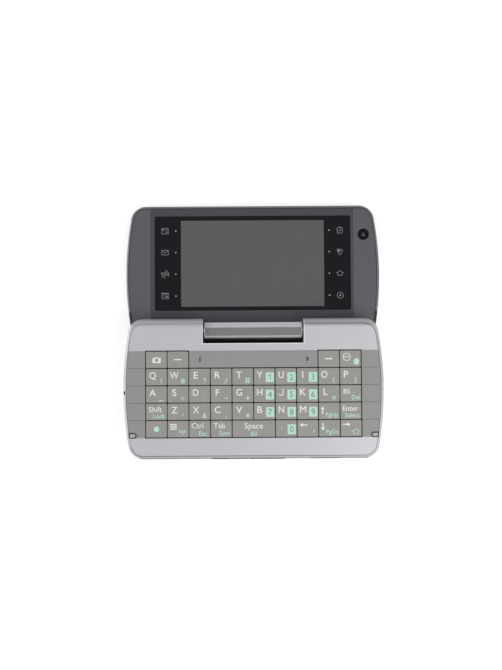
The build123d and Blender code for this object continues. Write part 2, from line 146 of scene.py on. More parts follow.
def loft(rings: np.ndarray, closed: bool = False) -> Surface:
    """Lays a skin over a row of rings.

    Args:
        rings: points of shape (rings, points per ring, 3). Seen from the last ring, each runs anticlockwise.
        closed: whether the last ring joins the first, as in a torus. Otherwise a flat face closes each end.

    Returns:
        The skin: between ring i and ring i + 1, a face joins points j and j + 1 of one to those of the other.
    """
    count, around = rings.shape[:2]
    low = np.arange(count * around).reshape(count, around)
    high = np.roll(low, -1, axis=0)
    if not closed:
        low, high = low[:-1], high[:-1]
    ahead = functools.partial(np.roll, shift=-1, axis=1)
    faces = np.stack((low, ahead(low), ahead(high), high), axis=-1).reshape(-1, 4).tolist()
    if not closed:
        faces += [low[0, ::-1].tolist(), high[-1].tolist()]
    return Surface(rings.reshape(-1, 3), faces)


def rounded_rectangle(width: float, depth: float, radius: float, arc_points: int = 6) -> np.ndarray:
    """Works out a rectangle with round corners, anticlockwise.

    Args:
        width: its size along X.
        depth: its size along Y.
        radius: the corners' radius.
        arc_points: points on each corner.

    Returns:
        Points of shape (4 * arc_points, 2): each corner's centre, plus the radius times the cosine and the
        sine of an angle that runs through that corner's quarter turn.
    """
    quarter = np.linspace(0, math.pi / 2, arc_points)
    angles = (np.arange(4)[:, None] * math.pi / 2 + quarter).ravel()
    signs = np.repeat([(1, 1), (-1, 1), (-1, -1), (1, -1)], arc_points, axis=0)
    centres = signs * (np.array([width, depth]) / 2 - radius)
    return centres + radius * np.column_stack((np.cos(angles), np.sin(angles)))


def circle(radius: float, points: int = 40, start: float = 0.0, sweep: float = 360.0) -> np.ndarray:
    """Returns points on a circle round the origin, or on an arc of it, with angles in degrees."""
    whole = math.isclose(sweep, 360.0)
    angles = np.radians(start + np.linspace(0, sweep, points, endpoint=not whole))
    return radius * np.column_stack((np.cos(angles), np.sin(angles)))


def bowed_outline(front: float, rear: float, half: float, bow: float, corner: float) -> np.ndarray:
    """Works out the outline that both halves of the phone share, anticlockwise.

    Args:
        front: its front edge along Y.
        rear: its rear edge along Y.
        half: half its width, at the middle of its sides.
        bow: radius of its bowed sides.
        corner: radius of its corners.

    Returns:
        Points on the right side from front to rear, and their mirror image. A corner's circle touches the
        front edge and the side's circle, so its centre is a corner radius from the edge, and the difference
        of the two radii from the side's centre.
    """
    middle = (front + rear) / 2
    rise = (rear - front) / 2 - corner
    run = math.sqrt((bow - corner) ** 2 - rise**2)
    turn = math.degrees(math.atan2(rise, run))
    bend = circle(corner, CORNER_POINTS, turn, 90 - turn) + (half - bow + run, middle + rise)
    side = circle(bow, SIDE_POINTS, -turn, 2 * turn)[1:-1] + (half - bow, middle)
    right = np.concatenate((bend[::-1] * (1, -1) + (0, 2 * middle), side, bend))
    return np.concatenate((right, right[::-1] * (-1, 1)))


def skin(rings: Iterable[tuple[np.ndarray, float]], closed: bool = False) -> Surface:
    """Lays a skin over flat outlines, each given with its height, from the lowest up and then inwards."""
    return loft(np.array([np.column_stack((ring, np.full(len(ring), z))) for ring, z in rings]), closed)


def plate(outline: np.ndarray, low: float, high: float) -> Surface:
    """Stands a flat outline up from height low to height high, with a flat face at each end."""
    return skin([(outline, low), (outline, high)])


def patch(outline: np.ndarray, low: float, high: float) -> Surface:
    """Stands an outline round the origin up, with rings on its top, so that it can follow uneven ground.

    The rings are the outline scaled by even steps, from 1 at its edge to almost 0 at its middle.
    """
    return skin([(outline, low), *((share * outline, high) for share in PATCH_SHARES)])


def revolved(profile: Sequence[Point], closed: bool = False) -> Surface:
    """Turns a profile round the Z axis.

    Args:
        profile: pairs of radius and height. It starts at the lower outer edge, goes up and then inwards.
        closed: whether the profile's end joins its start, as for a ring with a hole.

    Returns:
        One circle for each pair, with a skin over them.
    """
    return skin([(radius * circle(1.0, TURN_POINTS), height) for radius, height in profile], closed)


def ribbon(line: Line, width: float, low: float, high: float, closed: bool = False) -> Surface:
    """Carries a small rectangle along a flat line, as a printed or moulded stroke.

    Args:
        line: points of shape (n, 2) along the stroke's middle.
        width: the stroke's width.
        low: height of its underside.
        high: height of its top.
        closed: whether the line's end joins its start.

    Returns:
        The stroke. At each point it is offset along the mitre, the sum of the normals of the two runs that
        meet there over one plus their product, so that a corner keeps the stroke's width.
    """
    line = np.asarray(line, float)
    run = np.roll(line, -1, axis=0) - line
    if not closed:
        run[-1] = run[-2]
    run /= np.linalg.norm(run, axis=1, keepdims=True)
    normal = np.column_stack((-run[:, 1], run[:, 0]))
    before = np.roll(normal, 1, axis=0)
    if not closed:
        before[0] = normal[0]
    mitre = (normal + before) / (1 + (normal * before).sum(axis=1, keepdims=True))
    left, right = line + mitre * width / 2, line - mitre * width / 2
    corners = [(left, low), (left, high), (right, high), (right, low)]
    rings = np.stack([np.column_stack((side, np.full(len(line), z))) for side, z in corners], axis=1)
    return loft(rings, closed)


@functools.cache
def glyphs(words: str) -> Surface:
    """Makes words in the built-in font a mesh.

    Args:
        words: the text, on one line.

    Returns:
        The letters, standing up from height 0 to 1 with their baseline on the X axis.
    """
    half = 0.5  # of the letters' height above the ground
    text = bpy.data.curves.new("lettering", "FONT")
    text.body, text.extrude, text.resolution_u = words, half, 3
    holder = bpy.data.objects.new("lettering", text)
    mesh = bpy.data.meshes.new_from_object(holder)
    points = np.zeros(len(mesh.vertices) * 3, np.float32)
    mesh.vertices.foreach_get("co", points)
    merged, place = np.unique(np.round(points.reshape(-1, 3), 5), axis=0, return_inverse=True)
    place = place.ravel()
    faces = [list(dict.fromkeys(int(place[i]) for i in polygon.vertices)) for polygon in mesh.polygons]
    bpy.data.objects.remove(holder)
    bpy.data.curves.remove(text)
    bpy.data.meshes.remove(mesh)
    return Surface(merged + (0, 0, half), [face for face in faces if len(face) > 2])


@dataclass(frozen=True)
class Pen:
    """Draws flat marks that stand up from one height to another, with strokes of one width."""

    low: float
    high: float
    width: float = 0.24

    def line(
        self, *points: Point, width: float | None = None, lift: float = 0.0, closed: bool = False
    ) -> Surface:
        """Returns a stroke through points, of the pen's width unless another is given."""
        return ribbon(points, width or self.width, self.low, self.high + lift, closed)

    def frame(self, across: float, along: float, corner: float, **style: float) -> Surface:
        """Returns a closed stroke along a rectangle with round corners."""
        return self.line(*rounded_rectangle(across, along, corner), closed=True, **style)

    def fill(self, outline: Line) -> Surface:
        """Returns a flat form, from its outline anticlockwise."""
        return plate(np.array(outline, float), self.low, self.high)

    def block(self, across: float, along: float, corner: float) -> Surface:
        """Returns a flat rectangle with round corners."""
        return self.fill(rounded_rectangle(across, along, corner))

    def sign(self, lines: Sequence[Sequence[Point]], width: float) -> Surface:
        """Draws straight strokes, each a layer higher than the one before, so that none coincide."""
        return joined(self.line(*line, width=width, lift=LAYER * turn) for turn, line in enumerate(lines))

    def words(
        self, words: str, height: float, place: Point, anchor: Anchor = Anchor.BASELINE, bold: float = 0.0
    ) -> Surface:
        """Prints words in the built-in font.

        Args:
            words: the text.
            height: height of a capital letter.
            place: middle of the words along X, and their baseline or middle along Y.
            anchor: whether place means the baseline or the middle.
            bold: how far the strokes are widened.

        Returns:
            The letters, scaled from the font's capital height to the one asked for. Bold letters are printed
            three times, each shifted by half the widening and a layer higher than the one before.
        """
        shape = glyphs(words)
        scale = height / float(np.ptp(glyphs("H").points[:, 1]))
        points = shape.points * (scale, scale, self.high - self.low)
        middle = (points.min(axis=0) + points.max(axis=0)) / 2
        up = middle[1] if anchor is Anchor.MIDDLE else 0.0
        letters = Surface(points, shape.faces).moved(place[0] - middle[0], place[1] - up, self.low)
        if not bold:
            return letters
        shifts = circle(bold / 2, 3, 90).tolist()
        return joined(letters.moved(*shift, LAYER * turn) for turn, shift in enumerate(shifts))


# Finishes


def linear(hex_colour: str) -> Colour:
    """Turns a colour into what a shader takes.

    Args:
        hex_colour: six hex digits, sRGB.

    Returns:
        Linear red, green and blue, and alpha 1. Each channel is over 12.92 where it is dark, and otherwise
        is shifted by 0.055 and raised to the power 2.4.
    """
    channels = np.array([int(hex_colour[i:i + 2], 16) for i in (0, 2, 4)]) / 255
    curve = np.where(channels <= 0.04045, channels / 12.92, ((channels + 0.055) / 1.055) ** 2.4)
    return (*curve.tolist(), 1.0)


def scaled(colour: Colour, share: float) -> Colour:
    """Returns a linear colour made lighter or darker by a share."""
    return (*(min(1.0, channel * share) for channel in colour[:3]), 1.0)


def per_metre(size: float) -> float:
    """Returns a texture's scale for features of a size in millimetres."""
    return 1 / (size * MM)


@dataclass(frozen=True)
class Graph:
    """A node tree, and short ways to add what the finishes and the world are made of.

    Every value is a number or a colour, or the socket of a node that works it out.
    """

    tree: bpy.types.NodeTree

    def add(
        self, kind: str, inputs: dict[str | int, object] | None = None, **settings: object
    ) -> bpy.types.Node:
        """Adds a node.

        Args:
            kind: the node's type, without its leading ShaderNode.
            inputs: the value of each input, by name or number.
            settings: the node's own properties.

        Returns:
            The node.
        """
        node = self.tree.nodes.new("ShaderNode" + kind)
        for name, setting in settings.items():
            setattr(node, name, setting)
        self.feed(node, inputs or {})
        return node

    def feed(self, node: bpy.types.Node, inputs: dict[str | int, object]) -> None:
        """Sets or links a node's inputs."""
        for name, value in inputs.items():
            if isinstance(value, Socket):
                self.tree.links.new(value, node.inputs[name])
            else:
                node.inputs[name].default_value = value

    def axes(self, place: Socket) -> dict[str, Socket]:
        """Returns a point's X, Y and Z."""
        return dict(self.add("SeparateXYZ", {"Vector": place}).outputs.items())

    def maths(self, operation: str, *values: object) -> Socket:
        """Returns the result of one operation on up to three values."""
        return self.add("Math", dict(enumerate(values)), operation=operation).outputs[0]

    def mix(self, share: object, first: object, second: object) -> Socket:
        """Returns the first colour where the share is 0, the second where it is 1, and a blend between."""
        return self.add("Mix", {"Factor": share, 6: first, 7: second}, data_type="RGBA").outputs[2]

    def noise(self, place: Socket, size: float, detail: float) -> Socket:
        """Returns soft noise from 0 to 1, with features of a size in millimetres."""
        inputs = {"Vector": place, "Scale": per_metre(size), "Detail": detail}
        return self.add("TexNoise", inputs).outputs["Fac"]

    def ramp(
        self, value: Socket, start: float = 0.0, end: float = 1.0, low: float = 0.0, high: float = 1.0,
        **settings: str,
    ) -> Socket:
        """Returns low where a value is at its start, high where it is at its end, and a level between."""
        limits = {"Value": value, "From Min": start, "From Max": end, "To Min": low, "To Max": high}
        return self.add("MapRange", limits, **settings).outputs["Result"]


@dataclass(frozen=True)
class Finish:
    """Moulded plastic, and what every other finish starts from.

    Its colour and gloss vary slowly over the surface, as in any moulding, and a fine grain gives it relief.
    """

    name: str
    slot: str
    colour: str
    roughness: float
    metallic: float = 0.0
    ior: float = 1.5
    coat: float = 0.0
    coat_roughness: float = 0.1
    grain: float = 0.3
    relief: float = 0.004
    patch: float = 9.0
    unevenness: float = 0.03
    gloss_spread: float = 0.1

    def tint(self, graph: Graph, place: Socket) -> Socket:
        """Returns the colour over the surface: patches a little lighter and darker than the finish's own."""
        return self.mottled(graph, place, self.colour)

    def mottled(self, graph: Graph, place: Socket, colour: str) -> Socket:
        """Mixes a darker and a lighter shade of an sRGB colour by slow noise."""
        shades = [scaled(linear(colour), 1 + way * self.unevenness) for way in (-1, 1)]
        return graph.mix(graph.noise(place, self.patch, 3.0), *shades)

    def height(self, graph: Graph, place: Socket) -> Socket:
        """Returns the relief over the surface, from 0 to 1: the even grain of a spark-eroded mould."""
        return graph.noise(place, self.grain, 2.0)

    def gloss(self, graph: Graph, height: Socket) -> Socket:
        """Returns the roughness over the surface: a little duller in the hollows of the grain."""
        dull, glossy = (self.roughness * (1 + way * self.gloss_spread) for way in (1, -1))
        return graph.ramp(height, low=min(1.0, dull), high=glossy)

    @functools.cache
    def material(self) -> bpy.types.Material:
        """Builds the material once, and returns it."""
        made = bpy.data.materials.new(self.name)
        made.use_nodes = True
        made.diffuse_color = linear(self.colour)
        graph = Graph(made.node_tree)
        place = graph.add("TexCoord").outputs["Object"]
        height = self.height(graph, place)
        bump = graph.add("Bump", {"Height": height, "Strength": 1.0, "Distance": self.relief * MM})
        inputs = {
            "Base Color": self.tint(graph, place),
            "Roughness": self.gloss(graph, height),
            "Normal": bump.outputs["Normal"],
            "Metallic": self.metallic,
            "Coat Weight": self.coat,
            "Coat Roughness": self.coat_roughness,
        }
        if self.metallic < 1:
            inputs["IOR"] = self.ior
        graph.feed(graph.tree.nodes["Principled BSDF"], inputs)
        return made


@dataclass(frozen=True)
class Ink(Finish):
    """Matte ink or shadow tone, printed flat."""

    roughness: float = 0.6
    relief: float = 0.001


@dataclass(frozen=True)
class SilverLacquer(Finish):
    """Satin silver lacquer sprayed over a plastic shell.

    Aluminium flakes lie flat in it, each at a slightly other angle, so it glitters finely and gets lighter
    towards the lamp. The real flakes are 0.02 mm wide. They are drawn wider, so that they show at all.
    """

    roughness: float = 0.4
    coat: float = 0.1
    flake: float = 0.16

    def height(self, graph: Graph, place: Socket) -> Socket:
        """Returns one level for each flake, from 0 to 1."""
        cells = graph.add("TexVoronoi", {"Vector": place, "Scale": per_metre(self.flake)})
        return graph.add("SeparateColor", {"Color": cells.outputs["Color"]}).outputs["Red"]


@dataclass(frozen=True)
class HingeLacquerWithPaintedShade(SilverLacquer):
    """Silver lacquer on the top of the hinge barrel, darkened towards the front by a painted shade that fades
    to near black, where the barrel's front lies in shade.
    """

    # painted shade: the near-black colour that the barrel's front is darkened to
    painted_shade_colour: str = "1c1c1e"
    shade_fade: Point = (-3.9, -3.0)

    def tint(self, graph: Graph, place: Socket) -> Socket:
        """Returns the lacquer's colour, and by way of the shade fade a painted shade, near black, where Y is
        lower.
        """
        cover = graph.ramp(graph.axes(place)["Y"], *(limit * MM for limit in self.shade_fade))
        return graph.mix(cover, linear(self.painted_shade_colour), self.mottled(graph, place, self.colour))


@dataclass(frozen=True)
class BezelPlastic(Finish):
    """Dark soft-touch lacquer of the plate round the display.

    The two side fields are a lighter blue-grey than the middle field, and the change stands at the shallow
    step between them.
    """

    side_colour: str = "585a5d"
    step_at: float = 46.8

    def tint(self, graph: Graph, place: Socket) -> Socket:
        """Returns the middle field's colour, or the side fields' beyond the step."""
        off = graph.maths("ABSOLUTE", graph.axes(place)["X"])
        beyond = graph.maths("GREATER_THAN", off, self.step_at * MM)
        tones = (self.mottled(graph, place, colour) for colour in (self.colour, self.side_colour))
        return graph.mix(beyond, *tones)


@dataclass(frozen=True)
class WindowGlass(Finish):
    """Polished glass, printed black behind, over a grey switched-off display.

    The print leaves the display's field free. The same glass, smaller, covers the outer display under the
    lid, so a second field is free there.
    """

    field_colour: str = "605d5e"
    field_x: Point = (-32.93, 32.83)
    field_y: Point = (11.3, 50.99)
    outer_x: Point = (-13.0, 13.0)
    outer_y: Point = (21.6, 26.4)
    outer_below: float = 2.0

    def window(self, graph: Graph, axes: dict[str, Socket], across: Point, along: Point) -> Socket:
        """Returns 1 inside a field, given by its limits along X and Y in millimetres, and 0 elsewhere."""
        sides = (
            graph.maths("COMPARE", axes[axis], (start + end) / 2 * MM, (end - start) / 2 * MM)
            for axis, (start, end) in (("X", across), ("Y", along))
        )
        return graph.maths("MULTIPLY", *sides)

    def tint(self, graph: Graph, place: Socket) -> Socket:
        """Returns the display's grey inside its field, and the print's black elsewhere."""
        axes = graph.axes(place)
        above = graph.maths("GREATER_THAN", axes["Z"], self.outer_below * MM)
        outer = self.window(graph, axes, self.outer_x, self.outer_y)
        inner = self.window(graph, axes, self.field_x, self.field_y)
        here = graph.add("Mix", {"Factor": above, 2: outer, 3: inner}).outputs[0]
        return graph.mix(here, linear(self.colour), self.mottled(graph, place, self.field_colour))


@dataclass(frozen=True)
class CoatedLens(Finish):
    """Small coated glass lens over a black barrel, in which the rings of its inner elements show faintly."""

    middle: Point = (0.0, 0.0)
    ring: float = 0.5
    ring_colour: str = "3c3e40"

    def tint(self, graph: Graph, place: Socket) -> Socket:
        """Returns rings, by the cosine of the distance from the lens's axis."""
        shift = (-self.middle[0] * MM, -self.middle[1] * MM, 0)
        centred = graph.add("Mapping", {"Vector": place, "Location": shift}).outputs[0]
        flat = graph.add("VectorMath", {0: centred, 1: (1, 1, 0)}, operation="MULTIPLY").outputs[0]
        reach = graph.add("VectorMath", {0: flat}, operation="LENGTH").outputs["Value"]
        turns = graph.maths("MULTIPLY", reach, 2 * math.pi * per_metre(self.ring))
        share = graph.ramp(graph.maths("COSINE", turns), start=-1.0)
        return graph.mix(share, linear(self.colour), linear(self.ring_colour))


@dataclass(frozen=True)
class BrushedMetal(Finish):
    """Metal with fine scratches along X, from a brush or a grinding belt."""

    scratch_length: float = 6.0

    def height(self, graph: Graph, place: Socket) -> Socket:
        """Returns noise drawn out along X."""
        squeeze = (self.grain / self.scratch_length, 1, 1)
        along = graph.add("Mapping", {"Vector": place, "Scale": squeeze}).outputs[0]
        return graph.noise(along, self.grain, 3.0)


@dataclass(frozen=True)
class CircuitBoard(Finish):
    """Green solder mask over copper tracks, on a glass-fibre board."""

    track_colour: str = "2f7a45"
    cell: float = 3.2
    randomness: float = 0.6
    track_share: float = 0.12

    def tint(self, graph: Graph, place: Socket) -> Socket:
        """Returns the mask's green, lighter over the tracks, which are the edges of uneven cells."""
        cells = {"Vector": place, "Scale": per_metre(self.cell), "Randomness": self.randomness}
        edge = graph.add("TexVoronoi", cells, feature="DISTANCE_TO_EDGE").outputs["Distance"]
        near = graph.maths("LESS_THAN", edge, self.track_share)
        return graph.mix(near, linear(self.colour), linear(self.track_colour))


SHELL_SILVER = SilverLacquer("shell_silver_lacquer", "case", "c4c5c9", metallic=0.25)
COVER_SILVER = SilverLacquer("cover_silver_lacquer", "silver_cover", "d5d5d7", metallic=0.4)
# painted highlight: the bright line along the edge of the hinge's notch
NOTCH_PAINTED_HIGHLIGHT = SilverLacquer("notch_edge_painted_highlight", "silver_cover", "f0f0f1", 0.35, metallic=0.2, coat=0.0)
LID_TITANIUM = SilverLacquer("lid_titanium_lacquer", "silver_cover", "7c7d82", metallic=0.75)
KNUCKLE_SILVER = HingeLacquerWithPaintedShade("knuckle_silver_lacquer", "hinge_metal", "e4e5e8", metallic=0.25)
KEY_PLASTIC = Finish("key_cap_matte_polycarbonate", "key_grey", "9a9995", 0.55, grain=0.22)
KEY_BAND = Finish("key_band_matte_polycarbonate", "key_grey", "979693", 0.5, grain=0.22)
BEZEL = BezelPlastic("bezel_soft_lacquer", "bezel", "45444a", 0.5, grain=0.25)
# black rubber of the side catch; also painted shade, as the black ring in the bezel's gap and the dark edge
# on each bumper
BLACK_RUBBER_AND_SHADE = Finish("catch_black_rubber_and_painted_shade", "door_rubber", "161617", 0.65, ior=1.48)
DOOR_RUBBER = Finish("door_thermoplastic_rubber", "door_rubber", "38383a", 0.55, ior=1.48)
BUMPER_RUBBER = Finish("bumper_thermoplastic_rubber", "bumper_rubber", "b3b1ae", 0.5, ior=1.48)
MAT_RUBBER = Finish("keypad_silicone", "mat_rubber", "26251f", 0.6, ior=1.41)
ROCKER_GREY = Finish("rocker_satin_polycarbonate", "bezel", "3e3e41", 0.4)
BLACK_CAP = Finish("hinge_end_black_polycarbonate", "black_cap", "1b1b1d", 0.4)
CAMERA_BLACK = Finish("camera_ring_gloss_black", "black_cap", "060607", 0.3, ior=1.3)
SPEAKER_CLOTH = Finish("speaker_woven_cloth", "black_cap", "141415", 0.8, grain=0.35, relief=0.06)
WINDOW = WindowGlass("window_printed_glass", "screen_glass", "04040b", 0.04, ior=1.45, relief=0.0002)
STRIP_GREY = BrushedMetal(
    "knuckle_strip_brushed_grey", "hinge_metal", "888a88", 0.36, metallic=0.3, grain=0.12
)
PIN_STEEL = BrushedMetal("ground_steel", "pin_steel", "b4b4b2", 0.28, metallic=1.0, grain=0.08)
PANEL = BrushedMetal("display_panel_steel_frame", "screen", "8c8d8f", 0.4, metallic=0.8)
BOARD = CircuitBoard("circuit_board_solder_mask", "board", "1c5232", 0.35)
BATTERY_WRAP = Finish("battery_heat_shrink_wrap", "battery", "1f2023", 0.45, unevenness=0.06)
WHITE_INK = Ink("legend_ink_white", "legend_white", "ecece9")
MINT_INK = Ink("legend_ink_mint", "legend_mint", "bce5d2")
GREY_INK = Ink("legend_ink_grey", "icon_grey", "869488")
ICON_INK = Ink("touch_icon_ink", "icon_grey", "7f7f80", 0.5)
DOT_INK = Ink("touch_dot_ink", "icon_grey", "a9a9ab", 0.5)
EDGE_INK = Ink("display_edge_ink", "icon_grey", "5a5a5b", 0.4)
DARK_INK = Ink("indicator_window_dark", "key_grey", "5c5650", 0.35)
# painted shade and painted highlight for the edges of the bezel's steps
STEP_PAINTED_SHADE = Ink("bezel_step_painted_shade", "bezel", "38393b")
STEP_PAINTED_HIGHLIGHT = Ink("bezel_step_painted_highlight", "bezel", "6c6e71", 0.5)
# painted shadow over the doors and the rocker, and painted shade along the front rim's lower edge
FRONT_PAINTED_SHADOW = Ink("front_rim_painted_shadow", "door_rubber", "1e1e20", 0.7)
FRONT_PAINTED_SHADE = Ink("front_rim_painted_shade", "door_rubber", "727377", 0.7)
# painted shadow: the dark line in the seam between the deck and the rim
SEAM_PAINTED_SHADOW = Ink("deck_seam_painted_shadow", "door_rubber", "5a5a5b", 0.7)
# painted shade: grey lines that darken the band's grooves
BAND_GROOVE_SHADE = Ink("band_groove_painted_shade", "key_grey", "747471", 0.7)

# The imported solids' finishes. The key blocks get none, since moulded caps replace them.
FINISH_OF = {
    "bottom_case": SHELL_SILVER,
    "top_cover": COVER_SILVER,
    "key_panel": KEY_BAND,
    "keypad_sheet": MAT_RUBBER,
    "lid_bumpers": BUMPER_RUBBER,
    "volume_rocker": ROCKER_GREY,
    "battery_cover": SHELL_SILVER,
    "battery": BATTERY_WRAP,
    "main_board": BOARD,
    "hinge_knuckle": KNUCKLE_SILVER,
    "hinge_pins": PIN_STEEL,
    "lid_cover": LID_TITANIUM,
    "end_cap": BLACK_CAP,
    "lid_bezel": BEZEL,
    "display_glass": WINDOW,
    "display_module": PANEL,
    "lid_camera": CAMERA_BLACK,
}


# Pieces


def add_piece(name: str, surface: Surface, finish: Finish, body: str, *stands_for: str) -> None:
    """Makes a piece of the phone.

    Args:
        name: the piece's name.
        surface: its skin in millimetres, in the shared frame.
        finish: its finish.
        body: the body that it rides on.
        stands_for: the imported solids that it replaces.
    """
    mesh = bpy.data.meshes.new(name)
    mesh.from_pydata((surface.points * MM).tolist(), [], surface.faces)
    mesh.polygons.foreach_set("use_smooth", np.ones(len(mesh.polygons), bool))
    mesh.set_sharp_from_angle(angle=math.radians(SHARP_FROM))
    mesh.materials.append(finish.material())
    piece = bpy.data.objects.new(name, mesh)
    bpy.context.scene.collection.objects.link(piece)
    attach(piece, body)
    if stands_for:
        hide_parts(*stands_for)
    log.info("%s: %d faces, rides on %s", name, len(surface.faces), body)


def dress(frame: dict) -> None:
    """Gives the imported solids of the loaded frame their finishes."""
    for node, finish in FINISH_OF.items():
        materials = frame["nodes"][node].data.materials
        materials.clear()
        materials.append(finish.material())
        log.info("%s: %s", node, finish.name)


def box_of(node: str) -> tuple[np.ndarray, np.ndarray]:
    """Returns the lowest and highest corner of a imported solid, in millimetres."""
    low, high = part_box(node)
    return np.array(low) / MM, np.array(high) / MM


# Keyboard


@dataclass
class KeyCap:
    """One moulded key cap: a block with round corners, whose flat face rolls off softly at its edges."""

    key: str
    corner: float = 0.4
    edge: float = 0.16
    roll: float = 0.95
    roll_drop: float = 0.07
    roll_rings: int = 6
    bend_points: int = 5
    face_middle: float = 0.05
    low: np.ndarray = field(init=False)
    high: np.ndarray = field(init=False)

    def __post_init__(self) -> None:
        """Takes the cap's place from its solid."""
        self.low, self.high = box_of(f"key_{self.key}")

    @property
    def size(self) -> np.ndarray:
        """Width, depth and height."""
        return self.high - self.low

    @property
    def middle(self) -> np.ndarray:
        """Middle of the cap's face."""
        return np.array([*((self.low + self.high) / 2)[:2], self.high[2]])

    def fall(self, inset: np.ndarray) -> np.ndarray:
        """Returns how far the face lies under its highest level at a distance in from the side.

        It is the drop times the square of the share of the roll that is still to go.
        """
        return self.roll_drop * np.clip(1 - inset / self.roll, 0, 1) ** 2

    def face_height(self, x: np.ndarray, y: np.ndarray) -> np.ndarray:
        """Returns the face's height at points measured from the cap's middle."""
        inset = np.minimum(self.size[0] / 2 - np.abs(x), self.size[1] / 2 - np.abs(y))
        return self.high[2] - self.fall(np.maximum(inset, 0))

    def skin(self) -> Surface:
        """Builds the cap.

        Returns:
            Rings from the skirt up, round the edge by a quarter circle, and in over the face, each the
            rectangle of the cap set in by a distance, at the height that belongs to that distance.
        """
        quarter = np.linspace(0, math.pi / 2, self.bend_points)
        edge_in = self.edge * (1 - np.cos(quarter))
        edge_down = self.edge * (1 - np.sin(quarter))
        roll_in = np.linspace(self.edge, self.roll, self.roll_rings + 1)[1:]
        face_in = np.append(roll_in, min(self.size[:2]) / 2 - self.face_middle)
        insets = np.concatenate(([0.0], edge_in, face_in))
        rim = self.high[2] - self.fall(np.array([self.edge]))[0]
        heights = np.concatenate(([self.low[2]], rim - edge_down, self.high[2] - self.fall(face_in)))
        sizes = self.size[:2] - 2 * insets[:, None]
        corners = np.maximum(self.corner - insets, LEAST_RADIUS)
        outlines = [
            rounded_rectangle(*size, corner, self.bend_points) for size, corner in zip(sizes, corners)
        ]
        return skin(zip(outlines, heights)).moved(*self.middle[:2])


INKS = {"white": WHITE_INK, "mint": MINT_INK, "grey": GREY_INK}

# Width of the printed letters, as a share of the built-in font's
LETTER_STRETCH = dict(
    w=0.84, n=0.88, o=0.88, u=0.88, x=0.9, d=0.92, q=0.93, h=0.96, r=1.05, k=1.07, e=1.08, b=1.1, s=1.12
)

# Second signs: from the font, with their size, and drawn as strokes
SIGNS = {"w": ("@", 1.4), "o": ("(", 2.1), "p": (")", 2.1), "x": ("&", 2.1)}
DRAWN_SIGNS: dict[str, Sequence[Sequence[Point]]] = {
    "q": (((0, 1.1), (0, -0.4)), ((0, -0.8), (0, -1.15))),
    "e": (
        ((-0.65, 0.75), (-0.4, 1.1), (0.3, 1.1), (0.6, 0.7), (0.45, 0.25), (0.0, -0.1), (0.0, -0.45)),
        ((0, -0.9), (0, -1.2)),
    ),
    "r": (((-0.55, -1.3), (0.55, 1.3)),),
    "t": (
        ((-1.05, 0.75), (1.2, 0.75)),
        ((-1.2, -0.35), (1.05, -0.35)),
        ((-0.7, -1.15), (-0.35, 1.5)),
        ((0.35, -1.15), (0.7, 1.5)),
    ),
    "a": (((-1.2, -0.9), (1.1, -0.9)),),
    "s": (((-0.45, 0.7), (-0.45, -0.4)), ((0.4, 0.7), (0.4, -0.4))),
    "d": (((0, 0.95), (0, 0.55)), ((0, -1.0), (0, -0.6))),
    "f": (((-0.7, 0), (0.7, 0)),),
    "g": (((-0.95, 0), (0.95, 0)), ((0, -0.95), (0, 0.95))),
    "l": (((-0.85, 0.4), (0.85, 0.4)), ((-0.85, -0.4), (0.85, -0.4))),
    "z": (((0.1, 0.9), (-0.1, 0.0)),),
    "c": (((0.05, 0.85), (0.05, 0.45)), ((0.1, -0.5), (-0.15, -1.35))),
    "v": [((0.0, 0.0), tuple(spoke)) for spoke in circle(0.95, 5, 18)],
}
DIGITS = dict(zip("yuihjkbnm", "123456789")) | {"zero": "0"}

# Words on the wide legends: ink, text, height of a capital, and place from the key's middle
WORDS = {
    "shift": (("white", "Shift", 2.3, -0.5, -0.1), ("mint", "Lock", 1.9, 1.2, -2.8)),
    "backspace": (("white", "BS", 2.1, -1.8, -0.1), ("mint", "Del", 1.9, 2.3, -2.7)),
    "enter": (("white", "Enter", 2.2, -0.2, 0.0), ("mint", "Select", 1.9, 0.6, -2.9)),
    "ctrl": (("white", "Ctrl", 2.3, -1.0, 0.3), ("mint", "Esc", 2.0, 1.5, -3.0)),
    "tab": (("white", "Tab", 2.3, -0.9, 0.3), ("mint", "Sym", 2.0, 1.4, -2.9)),
    "space": (("white", "Space", 2.5, 0.0, 0.1), ("mint", "áü", 2.2, 0.0, -3.05)),
    "up": (("mint", "PgUp", 1.8, 1.1, -2.6),),
    "down": (("mint", "PgDn", 1.8, 1.3, -2.45),),
    "zero": (("white", ".", 2.4, -2.0, 0.0),),
    "left": (("white", ",", 2.4, 2.7, -1.4),),
}

# Arrow keys: degrees anticlockwise from pointing right, and place
ARROWS = {
    "right": (0, (-2.0, 1.7)),
    "up": (90, (-3.0, 0.3)),
    "left": (180, (-1.95, 1.5)),
    "down": (270, (-2.9, 0.65)),
}


